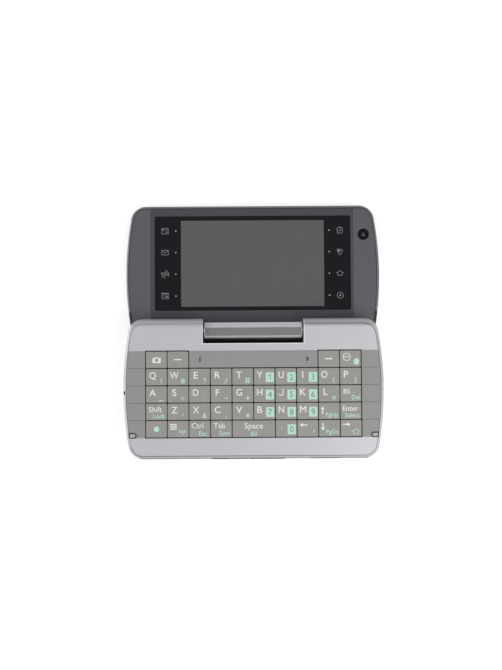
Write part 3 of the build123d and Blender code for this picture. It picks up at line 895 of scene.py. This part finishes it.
@dataclass
class Keyboard:
    """The key caps and their printed legends."""

    rows: tuple[Sequence[str], ...] = (
        ("camera", "soft_left", "soft_right", "end"),
        "qwertyuiop",
        (*"asdfghjkl", "backspace"),
        ("shift", *"zxcvbnm", "up", "enter"),
        ("dot", "menu", "ctrl", "tab", "space", "zero", "left", "down", "right"),
    )
    ink: float = 0.012
    ink_lift: float = 0.004
    ink_room: float = 0.001
    letter_height: float = 2.9
    letter_base: float = -0.72
    letter_bold: float = 0.12
    word_bold: float = 0.06
    sign_bold: float = 0.14
    sign_stroke: float = 0.38
    letter_x: float = -1.65
    numbered_letter_x: float = -2.1
    sign_place: Point = (2.2, -1.85)
    patch_place: Point = (2.45, -0.36)
    patch_size: Triple = (3.7, 4.4, 0.3)
    digit_height: float = 2.6
    hook_stroke: float = 0.4
    hook_shift: float = 0.9
    digit_stroke: float = 0.34
    bar_stroke: float = 0.55

    def build(self) -> None:
        """Builds every cap and its legends."""
        for key in chain.from_iterable(self.rows):
            cap, node = KeyCap(key), f"key_{key}"
            add_piece(f"cap_{key}", cap.skin(), KEY_PLASTIC, node, node)
            marks = self.legends(key)
            for ink, finish in INKS.items():
                shapes = [shape for name, shape in marks if name == ink]
                if shapes:
                    drawn = joined(shapes).draped(cap.face_height).moved(*cap.middle[:2])
                    add_piece(f"legend_{key}_{ink}", drawn, finish, node)

    def legends(self, key: str) -> list[tuple[str, Surface]]:
        """Works out what is printed on a key.

        Args:
            key: the key's name.

        Returns:
            The ink's name and the shape of each mark, measured from the middle of the key's face.
        """
        pen = Pen(self.ink_lift, self.ink_lift + self.ink)
        over = Pen(pen.high + self.ink_room, pen.high + self.ink)
        marks: list[tuple[str, Surface]] = []
        if len(key) == 1:
            across = self.numbered_letter_x if key in DIGITS or key in "op" else self.letter_x
            marks.append(("white", self.letter(key, across, pen)))
        if key in SIGNS:
            marks.append(("mint", pen.words(*SIGNS[key], self.sign_place, Anchor.MIDDLE, self.sign_bold)))
        if key in DRAWN_SIGNS:
            marks.append(("mint", pen.sign(DRAWN_SIGNS[key], self.sign_stroke).moved(*self.sign_place)))
        if key in DIGITS:
            ground = patch(rounded_rectangle(*self.patch_size), pen.low, pen.high)
            marks += [("mint", ground.moved(*self.patch_place)), ("grey", self.digit(DIGITS[key], over))]
        for ink, words, height, *place in WORDS.get(key, ()):
            marks.append((ink, pen.words(words, height, place, bold=self.word_bold)))
        return marks + self.pictures(key, pen, over)

    def letter(self, key: str, across: float, pen: Pen) -> Surface:
        """Draws a key's letter. The J stands on the baseline, which the built-in font's doesn't."""
        if key == "j":
            hook = np.array([(0.59, 1.0), *(circle(0.29, 10, 0, -180) + (0.3, 0.28))]) * self.letter_height
            return pen.line(*hook, width=self.hook_stroke).moved(across - self.hook_shift, self.letter_base)
        shape = pen.words(key.upper(), self.letter_height, (0, self.letter_base), bold=self.letter_bold)
        return shape.stretched(LETTER_STRETCH.get(key, 1)).moved(across, 0)

    def digit(self, digit: str, pen: Pen) -> Surface:
        """Draws a digit on its mint patch. The 1 gets a flag, which the built-in font's hasn't."""
        if digit != "1":
            return pen.words(digit, self.digit_height, self.patch_place, Anchor.MIDDLE, self.word_bold)
        half = self.digit_height / 2
        lines = (((0.25, -half), (0.25, half)), ((0.2, half - 0.15), (-0.45, half - 0.6)))
        return pen.sign(lines, self.digit_stroke).moved(*self.patch_place)

    def pictures(self, key: str, pen: Pen, over: Pen) -> list[tuple[str, Surface]]:
        """Works out the drawn marks of a key: arrows, camera, dashes, menu bars, mast and house.

        Args:
            key: the key's name.
            pen: the pen for ink on the face.
            over: the pen for ink on ink.

        Returns:
            The ink's name and the shape of each mark.
        """
        marks: list[tuple[str, Surface]] = []
        if key in ARROWS:
            turn, place = ARROWS[key]
            marks.append(("white", arrow(turn, pen).moved(*place)))
        if key == "right":
            marks.append(("mint", house(pen).moved(2.3, -1.5)))
        if key in ("soft_left", "soft_right"):
            marks.append(("white", pen.line((-1.65, 0), (1.65, 0), width=self.bar_stroke)))
        if key == "camera":
            hump = pen.fill([(-0.85, 1.05), (0.85, 1.05), (0.5, 1.65), (-0.5, 1.65)])
            marks += [("white", pen.block(3.7, 2.3, 0.3).moved(0.1, -0.3)), ("white", hump.moved(0.1, -0.35))]
            marks.append(("grey", over.fill(circle(0.72)).moved(0.1, -0.25)))
        if key == "end":
            ring = pen.line(*circle(1.65), width=0.28, closed=True).moved(-1.65, 0.8)
            marks += [("white", ring), ("white", pen.words("END", 0.95, (-1.7, 0.8), Anchor.MIDDLE))]
            capsule = patch(rounded_rectangle(2.3, 3.0, 1.1, 10), pen.low, pen.high)
            marks.append(("mint", capsule.moved(2.65, -1.3)))
        if key == "dot":
            marks.append(("mint", pen.fill(circle(1.25))))
        if key == "menu":
            bars = [pen.line((-3.6, y), (-0.6, y), width=self.bar_stroke) for y in (0.0, 1.0, 2.0)]
            marks += [("white", joined(bars)), ("mint", mast(pen).moved(2.0, -1.6))]
        return marks


def arrow(turn: float, pen: Pen) -> Surface:
    """Draws a straight arrow through the origin.

    Args:
        turn: degrees anticlockwise from pointing right.
        pen: the pen.

    Returns:
        A plate whose outline is a shaft with a triangle at its end.
    """
    half, head, barb, shaft = 1.75, 0.35, 0.9, 0.24
    lower = [(-half, -shaft), (head, -shaft), (head, -barb)]
    outline = np.array([*lower, (half, 0), *((x, -y) for x, y in lower[::-1])])
    angle = math.radians(turn)
    return pen.fill(outline @ [(math.cos(angle), math.sin(angle)), (-math.sin(angle), math.cos(angle))])


def house(pen: Pen) -> Surface:
    """Draws the outline of a house with wide eaves, 3.3 mm across, as one closed stroke."""
    walls = [(-1.05, -1.05), (1.05, -1.05)]
    roof = [(1.05, 0.15), (1.65, 0.15), (0.0, 1.2), (-1.65, 0.15), (-1.05, 0.15)]
    return pen.line(*walls, *roof, closed=True)


def mast(pen: Pen) -> Surface:
    """Draws a radio mast round the origin: a post, its head, and two waves on each side."""
    waves = [
        pen.line(*circle(radius, 9, start, 80), width=0.26).moved(0, 0.5)
        for radius in (0.85, 1.45)
        for start in (-40, 140)
    ]
    post, head = pen.line((0, -1.3), (0, 0.3), width=0.34), pen.fill(circle(0.36, 20))
    return joined([*waves, post, head.moved(0, 0.5)])


# Lid


def card(pen: Pen) -> list[Surface]:
    """Draws a pane with a cross on its left and lines on its right."""
    cross = [pen.line((-1.3, 1.0), (-0.2, 0.0)), pen.line((-1.3, 0.1), (-0.3, 1.0))]
    return [pen.frame(3.1, 2.5, 0.3), *cross, *(pen.line((0.3, y), (1.2, y)) for y in (0.7, 0.0, -0.7))]


def envelope(pen: Pen) -> list[Surface]:
    """Draws an envelope: a frame and the fold of its flap."""
    return [pen.frame(3.1, 2.15, 0.3), pen.line((-1.35, 0.95), (-0.4, -0.1), (0.4, -0.1), (1.35, 0.95))]


def orbit(pen: Pen) -> list[Surface]:
    """Draws a tilted pane between two curved arrows, the sign for turning the picture."""
    pane = rounded_rectangle(1.7, 1.3, 0.2) @ [(0.87, 0.5), (-0.5, 0.87)]
    arcs = [pen.line(*circle(1.6, 12, start, 115)) for start in (-20, 160)]
    barb = np.array([(0.0, -0.45), (0.5, 0.25), (-0.5, 0.25)])
    barbs = [pen.fill(side * barb).moved(side * 1.5, side * -0.6) for side in (1, -1)]
    return [pen.line(*pane, closed=True), pen.line((-0.5, -0.3), (0.5, 0.3), lift=LAYER), *arcs, *barbs]


def calendar(pen: Pen) -> list[Surface]:
    """Draws a calendar sheet: a thick head line over a frame with day marks."""
    head = pen.line((-1.7, 1.25), (1.7, 1.25), width=0.5)
    sheet = pen.frame(3.2, 1.8, 0.2, width=0.8 * pen.width).moved(0, -0.35)
    days = [pen.block(0.42, 0.42, 0.05).moved(x, -0.35) for x in (-0.8, 0.0)]
    return [head, sheet, *days, pen.block(0.8, 0.8, 0.1).moved(0.85, -0.4)]


def checklist(pen: Pen) -> list[Surface]:
    """Draws a board with a clip and a tick."""
    board, clip = pen.frame(2.4, 2.5, 0.3).moved(0, -0.15), pen.block(0.8, 0.8, 0.15).moved(0, 1.2)
    return [board, clip, pen.line((-0.6, 0.0), (-0.1, -0.6), (0.65, 0.4))]


def handset(pen: Pen) -> list[Surface]:
    """Draws a telephone on a slant: its receiver over a round body."""
    receiver = [(-1.3, 1.5), (-1.2, -0.15), (-0.25, -0.3), (0.35, 0.3), (0.05, 0.95), (-0.55, 1.0)]
    body = [(0.0, 1.25), (0.65, 1.1), (1.15, 0.55), (1.15, -0.1), (0.6, -0.85), (-0.15, -1.4), (-0.8, -0.85)]
    return [pen.fill(receiver), pen.line(*body)]


def home(pen: Pen) -> list[Surface]:
    """Draws a house outline."""
    return [house(pen).stretched(0.9)]


def player(pen: Pen) -> list[Surface]:
    """Draws a play triangle in a circle."""
    return [pen.line(*circle(1.4, 32), closed=True), pen.fill([(-0.4, -0.65), (0.7, 0.0), (-0.4, 0.65)])]


@dataclass
class Lid:
    """What is printed on the lid and fitted to it: touch icons, lens, the painted shade in the bezel's gap,
    the painted shade and highlight on the steps, and plugs.
    """

    icon_rows: tuple[float, ...] = (46.28, 36.31, 26.34, 16.16)
    icon_x: Point = (-40.35, 40.2)
    dot_x: Point = (-35.4, 35.25)
    dot_radius: float = 0.33
    ink: float = 0.012
    ink_lift: float = 0.003
    edge_line: float = 0.14
    hinge_end: float = -5.5
    trim: float = 1.3
    step_x: float = 46.75
    step_width: float = 0.3
    step_levels: Point = (-0.1, 0.01)
    step_ends: Point = (3.5, 0.4)
    gap_shade_inset: float = 1.2
    gap_shade_width: float = 0.32
    gap_shade_levels: Point = (4.4, 4.93)
    bow: float = 150.0
    corner: float = 7.0
    lens: tuple[Point, ...] = (
        (1.17, -0.6), (1.17, -0.3), (0.9, -0.18), (0.5, -0.1), (LEAST_RADIUS, -0.06)
    )
    plug_radius: float = 1.5
    plug_places: tuple[Point, ...] = ((-48.0, 14.0), (48.0, 14.0), (-48.0, 50.0), (48.0, 50.0))

    def build(self) -> None:
        """Adds every print and fitting of the lid."""
        self.add_icons()
        self.add_display_edge()
        self.add_lens()
        self.add_gap_shade()
        self.add_step_shading()
        add_plugs("lid", self.plug_radius, self.plug_places, Body.LID)

    @property
    def glass_top(self) -> float:
        """Height of the window's face."""
        return box_of("display_glass")[1][2]

    def add_icons(self) -> None:
        """Prints the eight touch icons, and the dot beside each."""
        pen = Pen(self.glass_top + self.ink_lift, self.glass_top + self.ink_lift + self.ink)
        drawings = {"left": (card, envelope, orbit, calendar), "right": (checklist, handset, home, player)}
        for (side, icons), across, dot in zip(drawings.items(), self.icon_x, self.dot_x):
            for number, (draw, along) in enumerate(zip(icons, self.icon_rows), 1):
                icon = joined(draw(pen)).moved(across, along)
                add_piece(f"touch_icon_{side}_{number}", icon, ICON_INK, Body.LID)
                mark = pen.fill(circle(self.dot_radius, 24)).moved(dot, along)
                add_piece(f"touch_dot_{side}_{number}", mark, DOT_INK, Body.LID)

    def add_display_edge(self) -> None:
        """Draws the thin light line where the display's frame shows along its left and lower edge."""
        (left, right), (front, rear) = WINDOW.field_x, WINDOW.field_y
        low = self.glass_top + LAYER
        line = ribbon([(left, rear), (left, front), (right, front)], self.edge_line, low, low + self.ink)
        add_piece("display_edge_line", line, EDGE_INK, Body.LID)

    def add_lens(self) -> None:
        """Adds the lid camera's grey lens, in the well of its black ring."""
        low, high = box_of("lid_camera")
        middle = tuple(((low + high) / 2)[:2])
        lens = revolved([(radius, high[2] + level) for radius, level in self.lens]).moved(*middle)
        finish = CoatedLens("lid_camera_coated_lens", "lens_glass", "1d1e20", 0.35, middle=middle)
        add_piece("lid_camera_lens", lens, finish, Body.LID)

    def add_gap_shade(self) -> None:
        """Paints the shade in the gap between the dark plate and the lacquered trim: a black ring that lies
        down in the gap.
        """
        side, rear = -box_of("lid_cover")[0][0], box_of("lid_bezel")[1][1] + self.trim
        inset = self.gap_shade_inset
        sizes = (rear, side, self.bow, self.corner)
        outline = bowed_outline(self.hinge_end + inset, *(size - inset for size in sizes))
        gap_ring = ribbon(outline, self.gap_shade_width, *self.gap_shade_levels, closed=True)
        add_piece("bezel_gap_painted_shade", gap_ring, BLACK_RUBBER_AND_SHADE, Body.LID)

    def add_step_shading(self) -> None:
        """Paints the edge of the plate's step on each side: a painted shade on the left and a painted
        highlight on the right.
        """
        low, high = box_of("lid_bezel")
        pen = Pen(*(high[2] + level for level in self.step_levels), self.step_width)
        front, rear = self.step_ends
        for side, across, finish in (("left", -self.step_x, STEP_PAINTED_SHADE), ("right", self.step_x, STEP_PAINTED_HIGHLIGHT)):
            line = pen.line((across, low[1] + front), (across, high[1] - rear))
            add_piece(f"bezel_step_{side}", line, finish, Body.LID)


def add_plugs(where: str, radius: float, places: Sequence[Point], body: Body) -> None:
    """Closes the screw holes in an underside with flat round rubber plugs.

    Args:
        where: the side of the phone, which begins their names.
        radius: their radius.
        places: the middle of each.
        body: the body that they ride on.
    """
    face, bevel, edge, top = -0.04, 0.15, 0.02, 0.3
    skirt = [(radius - bevel, face), (radius, edge), (radius, top)]
    plug = revolved([(LEAST_RADIUS, face), *skirt, (LEAST_RADIUS, top)])
    for number, place in enumerate(places, 1):
        add_piece(f"{where}_screw_plug_{number}", plug.moved(*place), DOOR_RUBBER, body)


# Base


@dataclass
class Base:
    """What is printed on the keyboard half and fitted to it, above and below."""

    deck: float = 16.1
    front_wall: float = -57.5
    side: float = 58.3
    rim_radius: float = 1.2
    strip_y: Point = (-2.6, 1.12)
    strip_thickness: float = 0.08
    strip_end_room: float = 0.3
    strip_corner: float = 0.1
    notch_half: float = 22.65
    notch_front: float = -6.0
    notch_rear: float = 2.3
    highlight_width: float = 0.4
    painted_line_rise: float = 0.02
    joint_x: Point = (48.8, 56.2)
    joint_rows: tuple[float, ...] = (-17.09, -24.83, -32.57, -40.31)
    joint_levels: Point = (15.9, 16.06)
    joint_width: float = 0.2
    line_depth: float = 0.3
    indicator_x: float = 23.9
    indicator_y: float = -13.2
    dot_radius: float = 0.5
    dot_offset: float = 0.6
    moon: float = 0.62
    print_levels: Point = (0.003, 0.015)
    door_spans: tuple[tuple[str, float, float], ...] = (("card", -50.2, -32.2), ("port", 25.1, 38.7))
    door_line: float = 0.3
    door_proud: float = 0.2
    door_skin: float = 0.03
    door_corner: float = 0.75
    door_bevel: Point = (0.15, 0.12)
    door_depth: float = 0.5
    bumper_length: float = 3.2
    bumper_shade_width: float = 0.46
    bumper_shade_depth: float = 0.1
    collar_width: float = 0.34
    collar_rise: float = 0.01
    seam_shadow_width: float = 0.28
    seam_rise: float = 0.005
    seam_end_room: float = 0.5
    seam: tuple[float, ...] = (-56.2, 2.75, 57.0, 148.7, 5.5)
    front_shade_y: float = -57.35
    front_corner: float = 0.1
    front_shade_span: Point = (-51.0, 51.0)
    shade_style: Point = (0.28, 0.015)
    front_rim_shadows: tuple[Point, ...] = ((-31.9, -24.4), (-18.6, -11.4), (-3.4, 14.0), (24.8, 37.8))
    shadow_style: Point = (0.3, 0.03)
    catch_place: Point = (-57.75, -27.9)
    catch_size: Triple = (0.7, 1.5, 0.2)
    catch_rise: float = 0.03
    camera_place: Point = (39.0, -20.0)
    camera_rim: tuple[Point, ...] = ((3.5, 0.12), (3.5, 0.38), (2.5, 0.38), (2.5, 0.2), (3.0, 0.06))
    camera_window: tuple[Point, ...] = (
        (LEAST_RADIUS, 0.1), (1.3, 0.14), (2.5, 0.3), (2.5, 0.39), (LEAST_RADIUS, 0.39)
    )
    speaker_place: Point = (39.0, -40.7)
    speaker_size: Triple = (10.0, 9.0, 0.8)
    speaker_levels: Point = (1.22, 1.4)
    plug_radius: float = 1.7
    plug_places: tuple[Point, ...] = ((49.0, -12.5), (49.0, -48.5))
    grip_middle: float = -30.3
    grip_levels: Point = (-0.04, 0.2)
    ridges: int = 5
    ridge_size: Triple = (0.7, 14.0, 0.34)
    ridge_start: float = -44.0
    ridge_step: float = 1.8
    pointer_x: float = -49.0
    pointer_scale: float = 1.6

    def build(self) -> None:
        """Adds every print and fitting of the base."""
        self.add_strip()
        self.add_notch_highlight()
        self.add_band_groove_shade()
        self.add_indicators()
        self.add_doors()
        self.add_bumper_shade()
        self.add_seam_shadow()
        self.add_front_rim_shade()
        self.add_side_catch()
        self.add_rear_camera()
        self.add_speaker_cloth()
        add_plugs("base", self.plug_radius, self.plug_places, Body.BASE)
        self.add_cover_grip()

    def deck_levels(self, rise: float) -> Point:
        """Returns the levels of a line that starts down in a joint of the deck and stands up by a rise."""
        return self.deck - self.line_depth, self.deck + rise

    def rim_height(self, out: np.ndarray) -> np.ndarray:
        """Returns the rim's height at a distance out from its ridge: a quarter circle that falls away."""
        out = np.clip(out, 0, self.rim_radius)
        return self.deck - self.rim_radius + np.sqrt(self.rim_radius**2 - out**2)

    def add_strip(self) -> None:
        """Lays the grey strip on the flat of the hinge barrel."""
        low, high = box_of("hinge_knuckle")
        front, rear = self.strip_y
        length = high[0] - low[0] - 2 * self.strip_end_room
        outline = rounded_rectangle(length, rear - front, self.strip_corner)
        strip = plate(outline + (0, (front + rear) / 2), high[2], high[2] + self.strip_thickness)
        add_piece("knuckle_strip", strip, STRIP_GREY, Body.LID)

    def add_notch_highlight(self) -> None:
        """Adds a painted highlight round the hinge's notch in the deck: a bright line along the notch's edge.
        """
        half, front = self.notch_half + self.highlight_width / 2, self.notch_front - self.highlight_width / 2
        line = [(-half, self.notch_rear), (-half, front), (half, front), (half, self.notch_rear)]
        lip = ribbon(line, self.highlight_width, *self.deck_levels(self.painted_line_rise))
        add_piece("notch_painted_highlight", lip, NOTCH_PAINTED_HIGHLIGHT, Body.BASE)

    def add_band_groove_shade(self) -> None:
        """Paints shade into the grooves between the rows' ends of the band: grey lines that lie down in them.
        """
        pen = Pen(*self.joint_levels, self.joint_width)
        start, end = self.joint_x
        lines = [pen.line((side * start, y), (side * end, y)) for side in (-1, 1) for y in self.joint_rows]
        add_piece("band_groove_shade_lines", joined(lines), BAND_GROOVE_SHADE, Body.BASE)

    def add_indicators(self) -> None:
        """Adds the light windows in the band: two dots on the left, and a crescent on the right."""
        top = box_of("key_panel")[1][2]
        pen = Pen(*(top + level for level in self.print_levels), self.moon)
        dot = pen.fill(circle(self.dot_radius, 24)).moved(-self.indicator_x, self.indicator_y)
        moon = pen.line(*circle(self.moon, 16, -130, 260)).moved(self.indicator_x, self.indicator_y)
        dots = joined(dot.moved(0, way * self.dot_offset) for way in (1, -1))
        add_piece("indicator_dots", dots, DARK_INK, Body.BASE)
        add_piece("indicator_moon", moon, DARK_INK, Body.BASE)

    def add_bumper_shade(self) -> None:
        """Adds a painted shade round each bumper, as a dark edge on its pad, and the collar round it: a
        square outer end and a round inner end.
        """
        low, high = box_of("lid_bumpers")
        middle, half = (low[1] + high[1]) / 2, (high[1] - low[1]) / 2
        inner = high[0] - self.bumper_length + half

        def bend(radius: float, start: float, sweep: float) -> np.ndarray:
            """Returns a part of the circle round the inner end."""
            return circle(radius, 12, start, sweep) + (inner, middle)

        def end(height: float) -> np.ndarray:
            """Returns the point at a height beside the middle of the square end."""
            return np.array([(high[0], middle + height)])

        edge, collar = half - self.bumper_shade_width / 2, half + self.collar_width / 2
        on_pad = (self.bumper_shade_width, high[2] - self.bumper_shade_depth, high[2] + self.painted_line_rise, True)
        on_deck = (self.collar_width, *self.deck_levels(self.collar_rise))
        parts = (
            # edge: painted shade, a dark ring on the rim of the pad
            ("edge", (bend(edge, 90, 180), end(-edge), end(edge)), on_pad, BLACK_RUBBER_AND_SHADE),
            ("collar", (end(collar), bend(collar, 90, 150)), on_deck, KEY_BAND),
            ("front", (bend(collar, 240, 30), end(-collar)), on_deck, COVER_SILVER),
        )
        for side, flip in (("right", 1), ("left", -1)):
            for name, runs, style, finish in parts:
                line = np.concatenate(runs)[::flip] * (flip, 1)
                add_piece(f"bumper_{name}_{side}", ribbon(line, *style), finish, Body.BASE)

    def add_seam_shadow(self) -> None:
        """Paints the shadow in the joint between the deck and the rim: a dark line along the front, the right
        side and on to the notch.
        """
        outline = bowed_outline(*self.seam)
        count = len(outline) // 2
        run = np.concatenate((outline[-CORNER_POINTS:], outline[:count]))
        levels = self.deck_levels(self.seam_rise)
        back = [outline[count - 1], (self.notch_half + self.seam_end_room, self.seam[1])]
        seam = joined([ribbon(run, self.seam_shadow_width, *levels), ribbon(back, self.seam_shadow_width / 2, *levels)])
        add_piece("deck_seam_shadow_line", seam, SEAM_PAINTED_SHADOW, Body.BASE)

    def add_side_catch(self) -> None:
        """Adds the small black catch in the left rim."""
        ridge = self.side - self.rim_radius
        catch = patch(rounded_rectangle(*self.catch_size), -self.line_depth, self.catch_rise)
        catch = catch.moved(*self.catch_place).draped(lambda x, y: self.rim_height(np.abs(x) - ridge))
        add_piece("side_catch", catch, BLACK_RUBBER_AND_SHADE, Body.BASE)

    def add_front_rim_shade(self) -> None:
        """Paints shade on the front rim: a grey line along it where its lower edge lies in shade, and darker
        painted shadows over the doors and the rocker.
        """
        ridge = self.front_wall + self.rim_radius

        def run(start: float, end: float, width: float, top: float) -> Surface:
            """Returns a line on the rim between two places along X."""
            line = patch(rounded_rectangle(end - start, width, self.front_corner), -self.line_depth, top)
            line = line.moved((start + end) / 2, self.front_shade_y)
            return line.draped(lambda x, y: self.rim_height(ridge - y))

        door_shadows = joined(run(*span, *self.shadow_style) for span in self.front_rim_shadows)
        lower_shade = run(*self.front_shade_span, *self.shade_style)
        add_piece("front_rim_shadows", door_shadows, FRONT_PAINTED_SHADOW, Body.BASE)
        add_piece("front_rim_shade_line", lower_shade, FRONT_PAINTED_SHADE, Body.BASE)

    def add_doors(self) -> None:
        """Covers the card and port doors with rubber skins, as high as the rocker and proud of the wall."""
        low, high = box_of("volume_rocker")
        face = self.door_proud + self.door_skin - self.front_wall
        bevel, bevel_depth = self.door_bevel
        for name, start, end in self.door_spans:
            length, height = end - start - 2 * self.door_line, high[2] - low[2]
            outline, inner = (
                rounded_rectangle(length + 2 * wider, height + 2 * wider, corner, 4)
                for wider, corner in ((self.door_skin, self.door_corner), (-bevel, self.door_corner - bevel))
            )
            door = skin([(outline, face - self.door_depth), (outline, face - bevel_depth), (inner, face)])
            door = door.upright().moved((start + end) / 2, 0, (low[2] + high[2]) / 2)
            add_piece(f"{name}_door_skin", door, DOOR_RUBBER, Body.BASE)

    def add_rear_camera(self) -> None:
        """Adds the rear camera's rim and its domed window, in the round hole under the base."""
        rim, window = revolved(self.camera_rim, closed=True), revolved(self.camera_window)
        glass = CoatedLens(
            "rear_camera_coated_lens", "lens_glass", "101114", 0.08, coat=0.6, middle=self.camera_place
        )
        add_piece("rear_camera_rim", rim.moved(*self.camera_place), CAMERA_BLACK, Body.BASE)
        add_piece("rear_camera_window", window.moved(*self.camera_place), glass, Body.BASE)

    def add_speaker_cloth(self) -> None:
        """Stretches the dark cloth behind the speaker's slots."""
        cloth = patch(rounded_rectangle(*self.speaker_size), *self.speaker_levels)
        add_piece("speaker_cloth", cloth.moved(*self.speaker_place), SPEAKER_CLOTH, Body.BASE)

    def add_cover_grip(self) -> None:
        """Moulds the grip under the battery cover: an arrow to the left, and rows of ridges beside it."""
        pen = Pen(*self.grip_levels)
        places = [self.ridge_step * number + self.ridge_start for number in range(self.ridges)]
        marks = [pen.block(*self.ridge_size).moved(x, self.grip_middle) for x in places]
        pointer = arrow(180, pen).stretched(self.pointer_scale, self.pointer_scale)
        marks.append(pointer.moved(self.pointer_x, self.grip_middle))
        add_piece("battery_cover_grip", joined(marks), SHELL_SILVER, Body.BATTERY_COVER)


# Studio


@dataclass
class Studio:
    """Pale floor, soft lamps, a grey ceiling over a horizon that is bright at the sides, and the camera."""

    floor_half: float = 2500.0
    floor_drop: float = 0.06
    floor_colour: str = "bcbcbc"
    floor_glow: float = 0.66
    lamps: tuple[tuple[str, Triple, float, float], ...] = (
        ("right", (320, -210, 420), 380, 1.5),
        ("left", (-640, 90, 330), 480, 2.0),
    )
    camera_place: Triple = (-1.12, -21.1, 444.8)
    camera_pitch: float = 2.5
    camera_turn: float = -0.36
    focal_length: float = 51.5
    ceiling: str = "a8a9ac"
    horizon_left: str = "ffffff"
    horizon_right: str = "c4c4c6"
    horizon_front: str = "525254"
    sides_blend: Point = (-0.2, 0.2)
    front_blend: Point = (0.15, 0.7)
    ceiling_blend: Point = (0.25, 0.85)

    def build(self) -> None:
        """Sets up the floor, the lamps, the world and the camera."""
        bpy.context.scene.view_settings.view_transform = "Standard"
        self.add_floor()
        for lamp in self.lamps:
            self.add_lamp(*lamp)
        self.add_world()
        self.add_camera()

    def place(self, name: str, data: bpy.types.ID) -> bpy.types.Object:
        """Puts a mesh, a lamp or a camera into the scene, and returns its object."""
        holder = bpy.data.objects.new(name, data)
        bpy.context.scene.collection.objects.link(holder)
        return holder

    def add_floor(self) -> None:
        """Lays the floor as one square of matte paper, which glows for the camera and for mirror images."""
        half, z = self.floor_half * MM, -self.floor_drop * MM
        corners = [(-half, -half, z), (half, -half, z), (half, half, z), (-half, half, z)]
        mesh = bpy.data.meshes.new("floor")
        mesh.from_pydata(corners, [], [(0, 1, 2, 3)])
        paper = Ink("floor_matte_paper", "", self.floor_colour, 0.9, unevenness=0.0).material()
        graph = Graph(paper.node_tree)
        rays = graph.add("LightPath").outputs
        seen = graph.maths("MAXIMUM", rays["Is Camera Ray"], rays["Is Glossy Ray"])
        glow = {
            "Emission Color": linear("ffffff"),
            "Emission Strength": graph.maths("MULTIPLY", seen, self.floor_glow),
        }
        graph.feed(graph.tree.nodes["Principled BSDF"], glow)
        mesh.materials.append(paper)
        floor = self.place("floor", mesh)

    def add_lamp(self, name: str, place: Triple, size: float, power: float) -> None:
        """Hangs a square softbox that faces the phone.

        Args:
            name: the lamp's name.
            place: where it hangs, in millimetres.
            size: its side, in millimetres.
            power: its power in watts.
        """
        light = bpy.data.lights.new(f"softbox_{name}", "AREA")
        light.shape, light.size, light.energy = "SQUARE", size * MM, power
        lamp = self.place(light.name, light)
        lamp.location = Vector(place) * MM
        lamp.rotation_euler = (-lamp.location).to_track_quat("-Z", "Y").to_euler()

    def add_world(self) -> None:
        """Sets the surroundings: bright beside the phone, dark before and behind it, and grey overhead."""
        world = bpy.data.worlds.new("studio")
        world.use_nodes = True
        bpy.context.scene.world = world
        graph = Graph(world.node_tree)
        view = graph.axes(graph.add("TexCoord").outputs["Generated"])
        smooth = functools.partial(graph.ramp, interpolation_type="SMOOTHSTEP")
        across = graph.ramp(view["X"], *self.sides_blend)
        side = graph.mix(across, linear(self.horizon_left), linear(self.horizon_right))
        beside = smooth(graph.maths("ABSOLUTE", view["X"]), *self.front_blend)
        around = graph.mix(beside, linear(self.horizon_front), side)
        sky = graph.mix(smooth(view["Z"], *self.ceiling_blend), around, linear(self.ceiling))
        graph.feed(graph.tree.nodes["Background"], {"Color": sky})

    def add_camera(self) -> None:
        """Hangs the camera over the phone, looking down and a little to the rear."""
        camera = bpy.data.cameras.new("camera")
        camera.lens, camera.clip_start = self.focal_length, 0.01
        holder = self.place("camera", camera)
        holder.location = Vector(self.camera_place) * MM
        holder.rotation_euler = Euler((math.radians(self.camera_pitch), 0, math.radians(self.camera_turn)))
        bpy.context.scene.camera = holder


def main() -> None:
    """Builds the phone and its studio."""
    logging.basicConfig(level=logging.INFO, format="%(message)s")
    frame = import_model()
    dress(frame)
    for part in (Base(), Keyboard(), Lid(), Studio()):
        part.build()


if __name__ == "__main__":
    main()
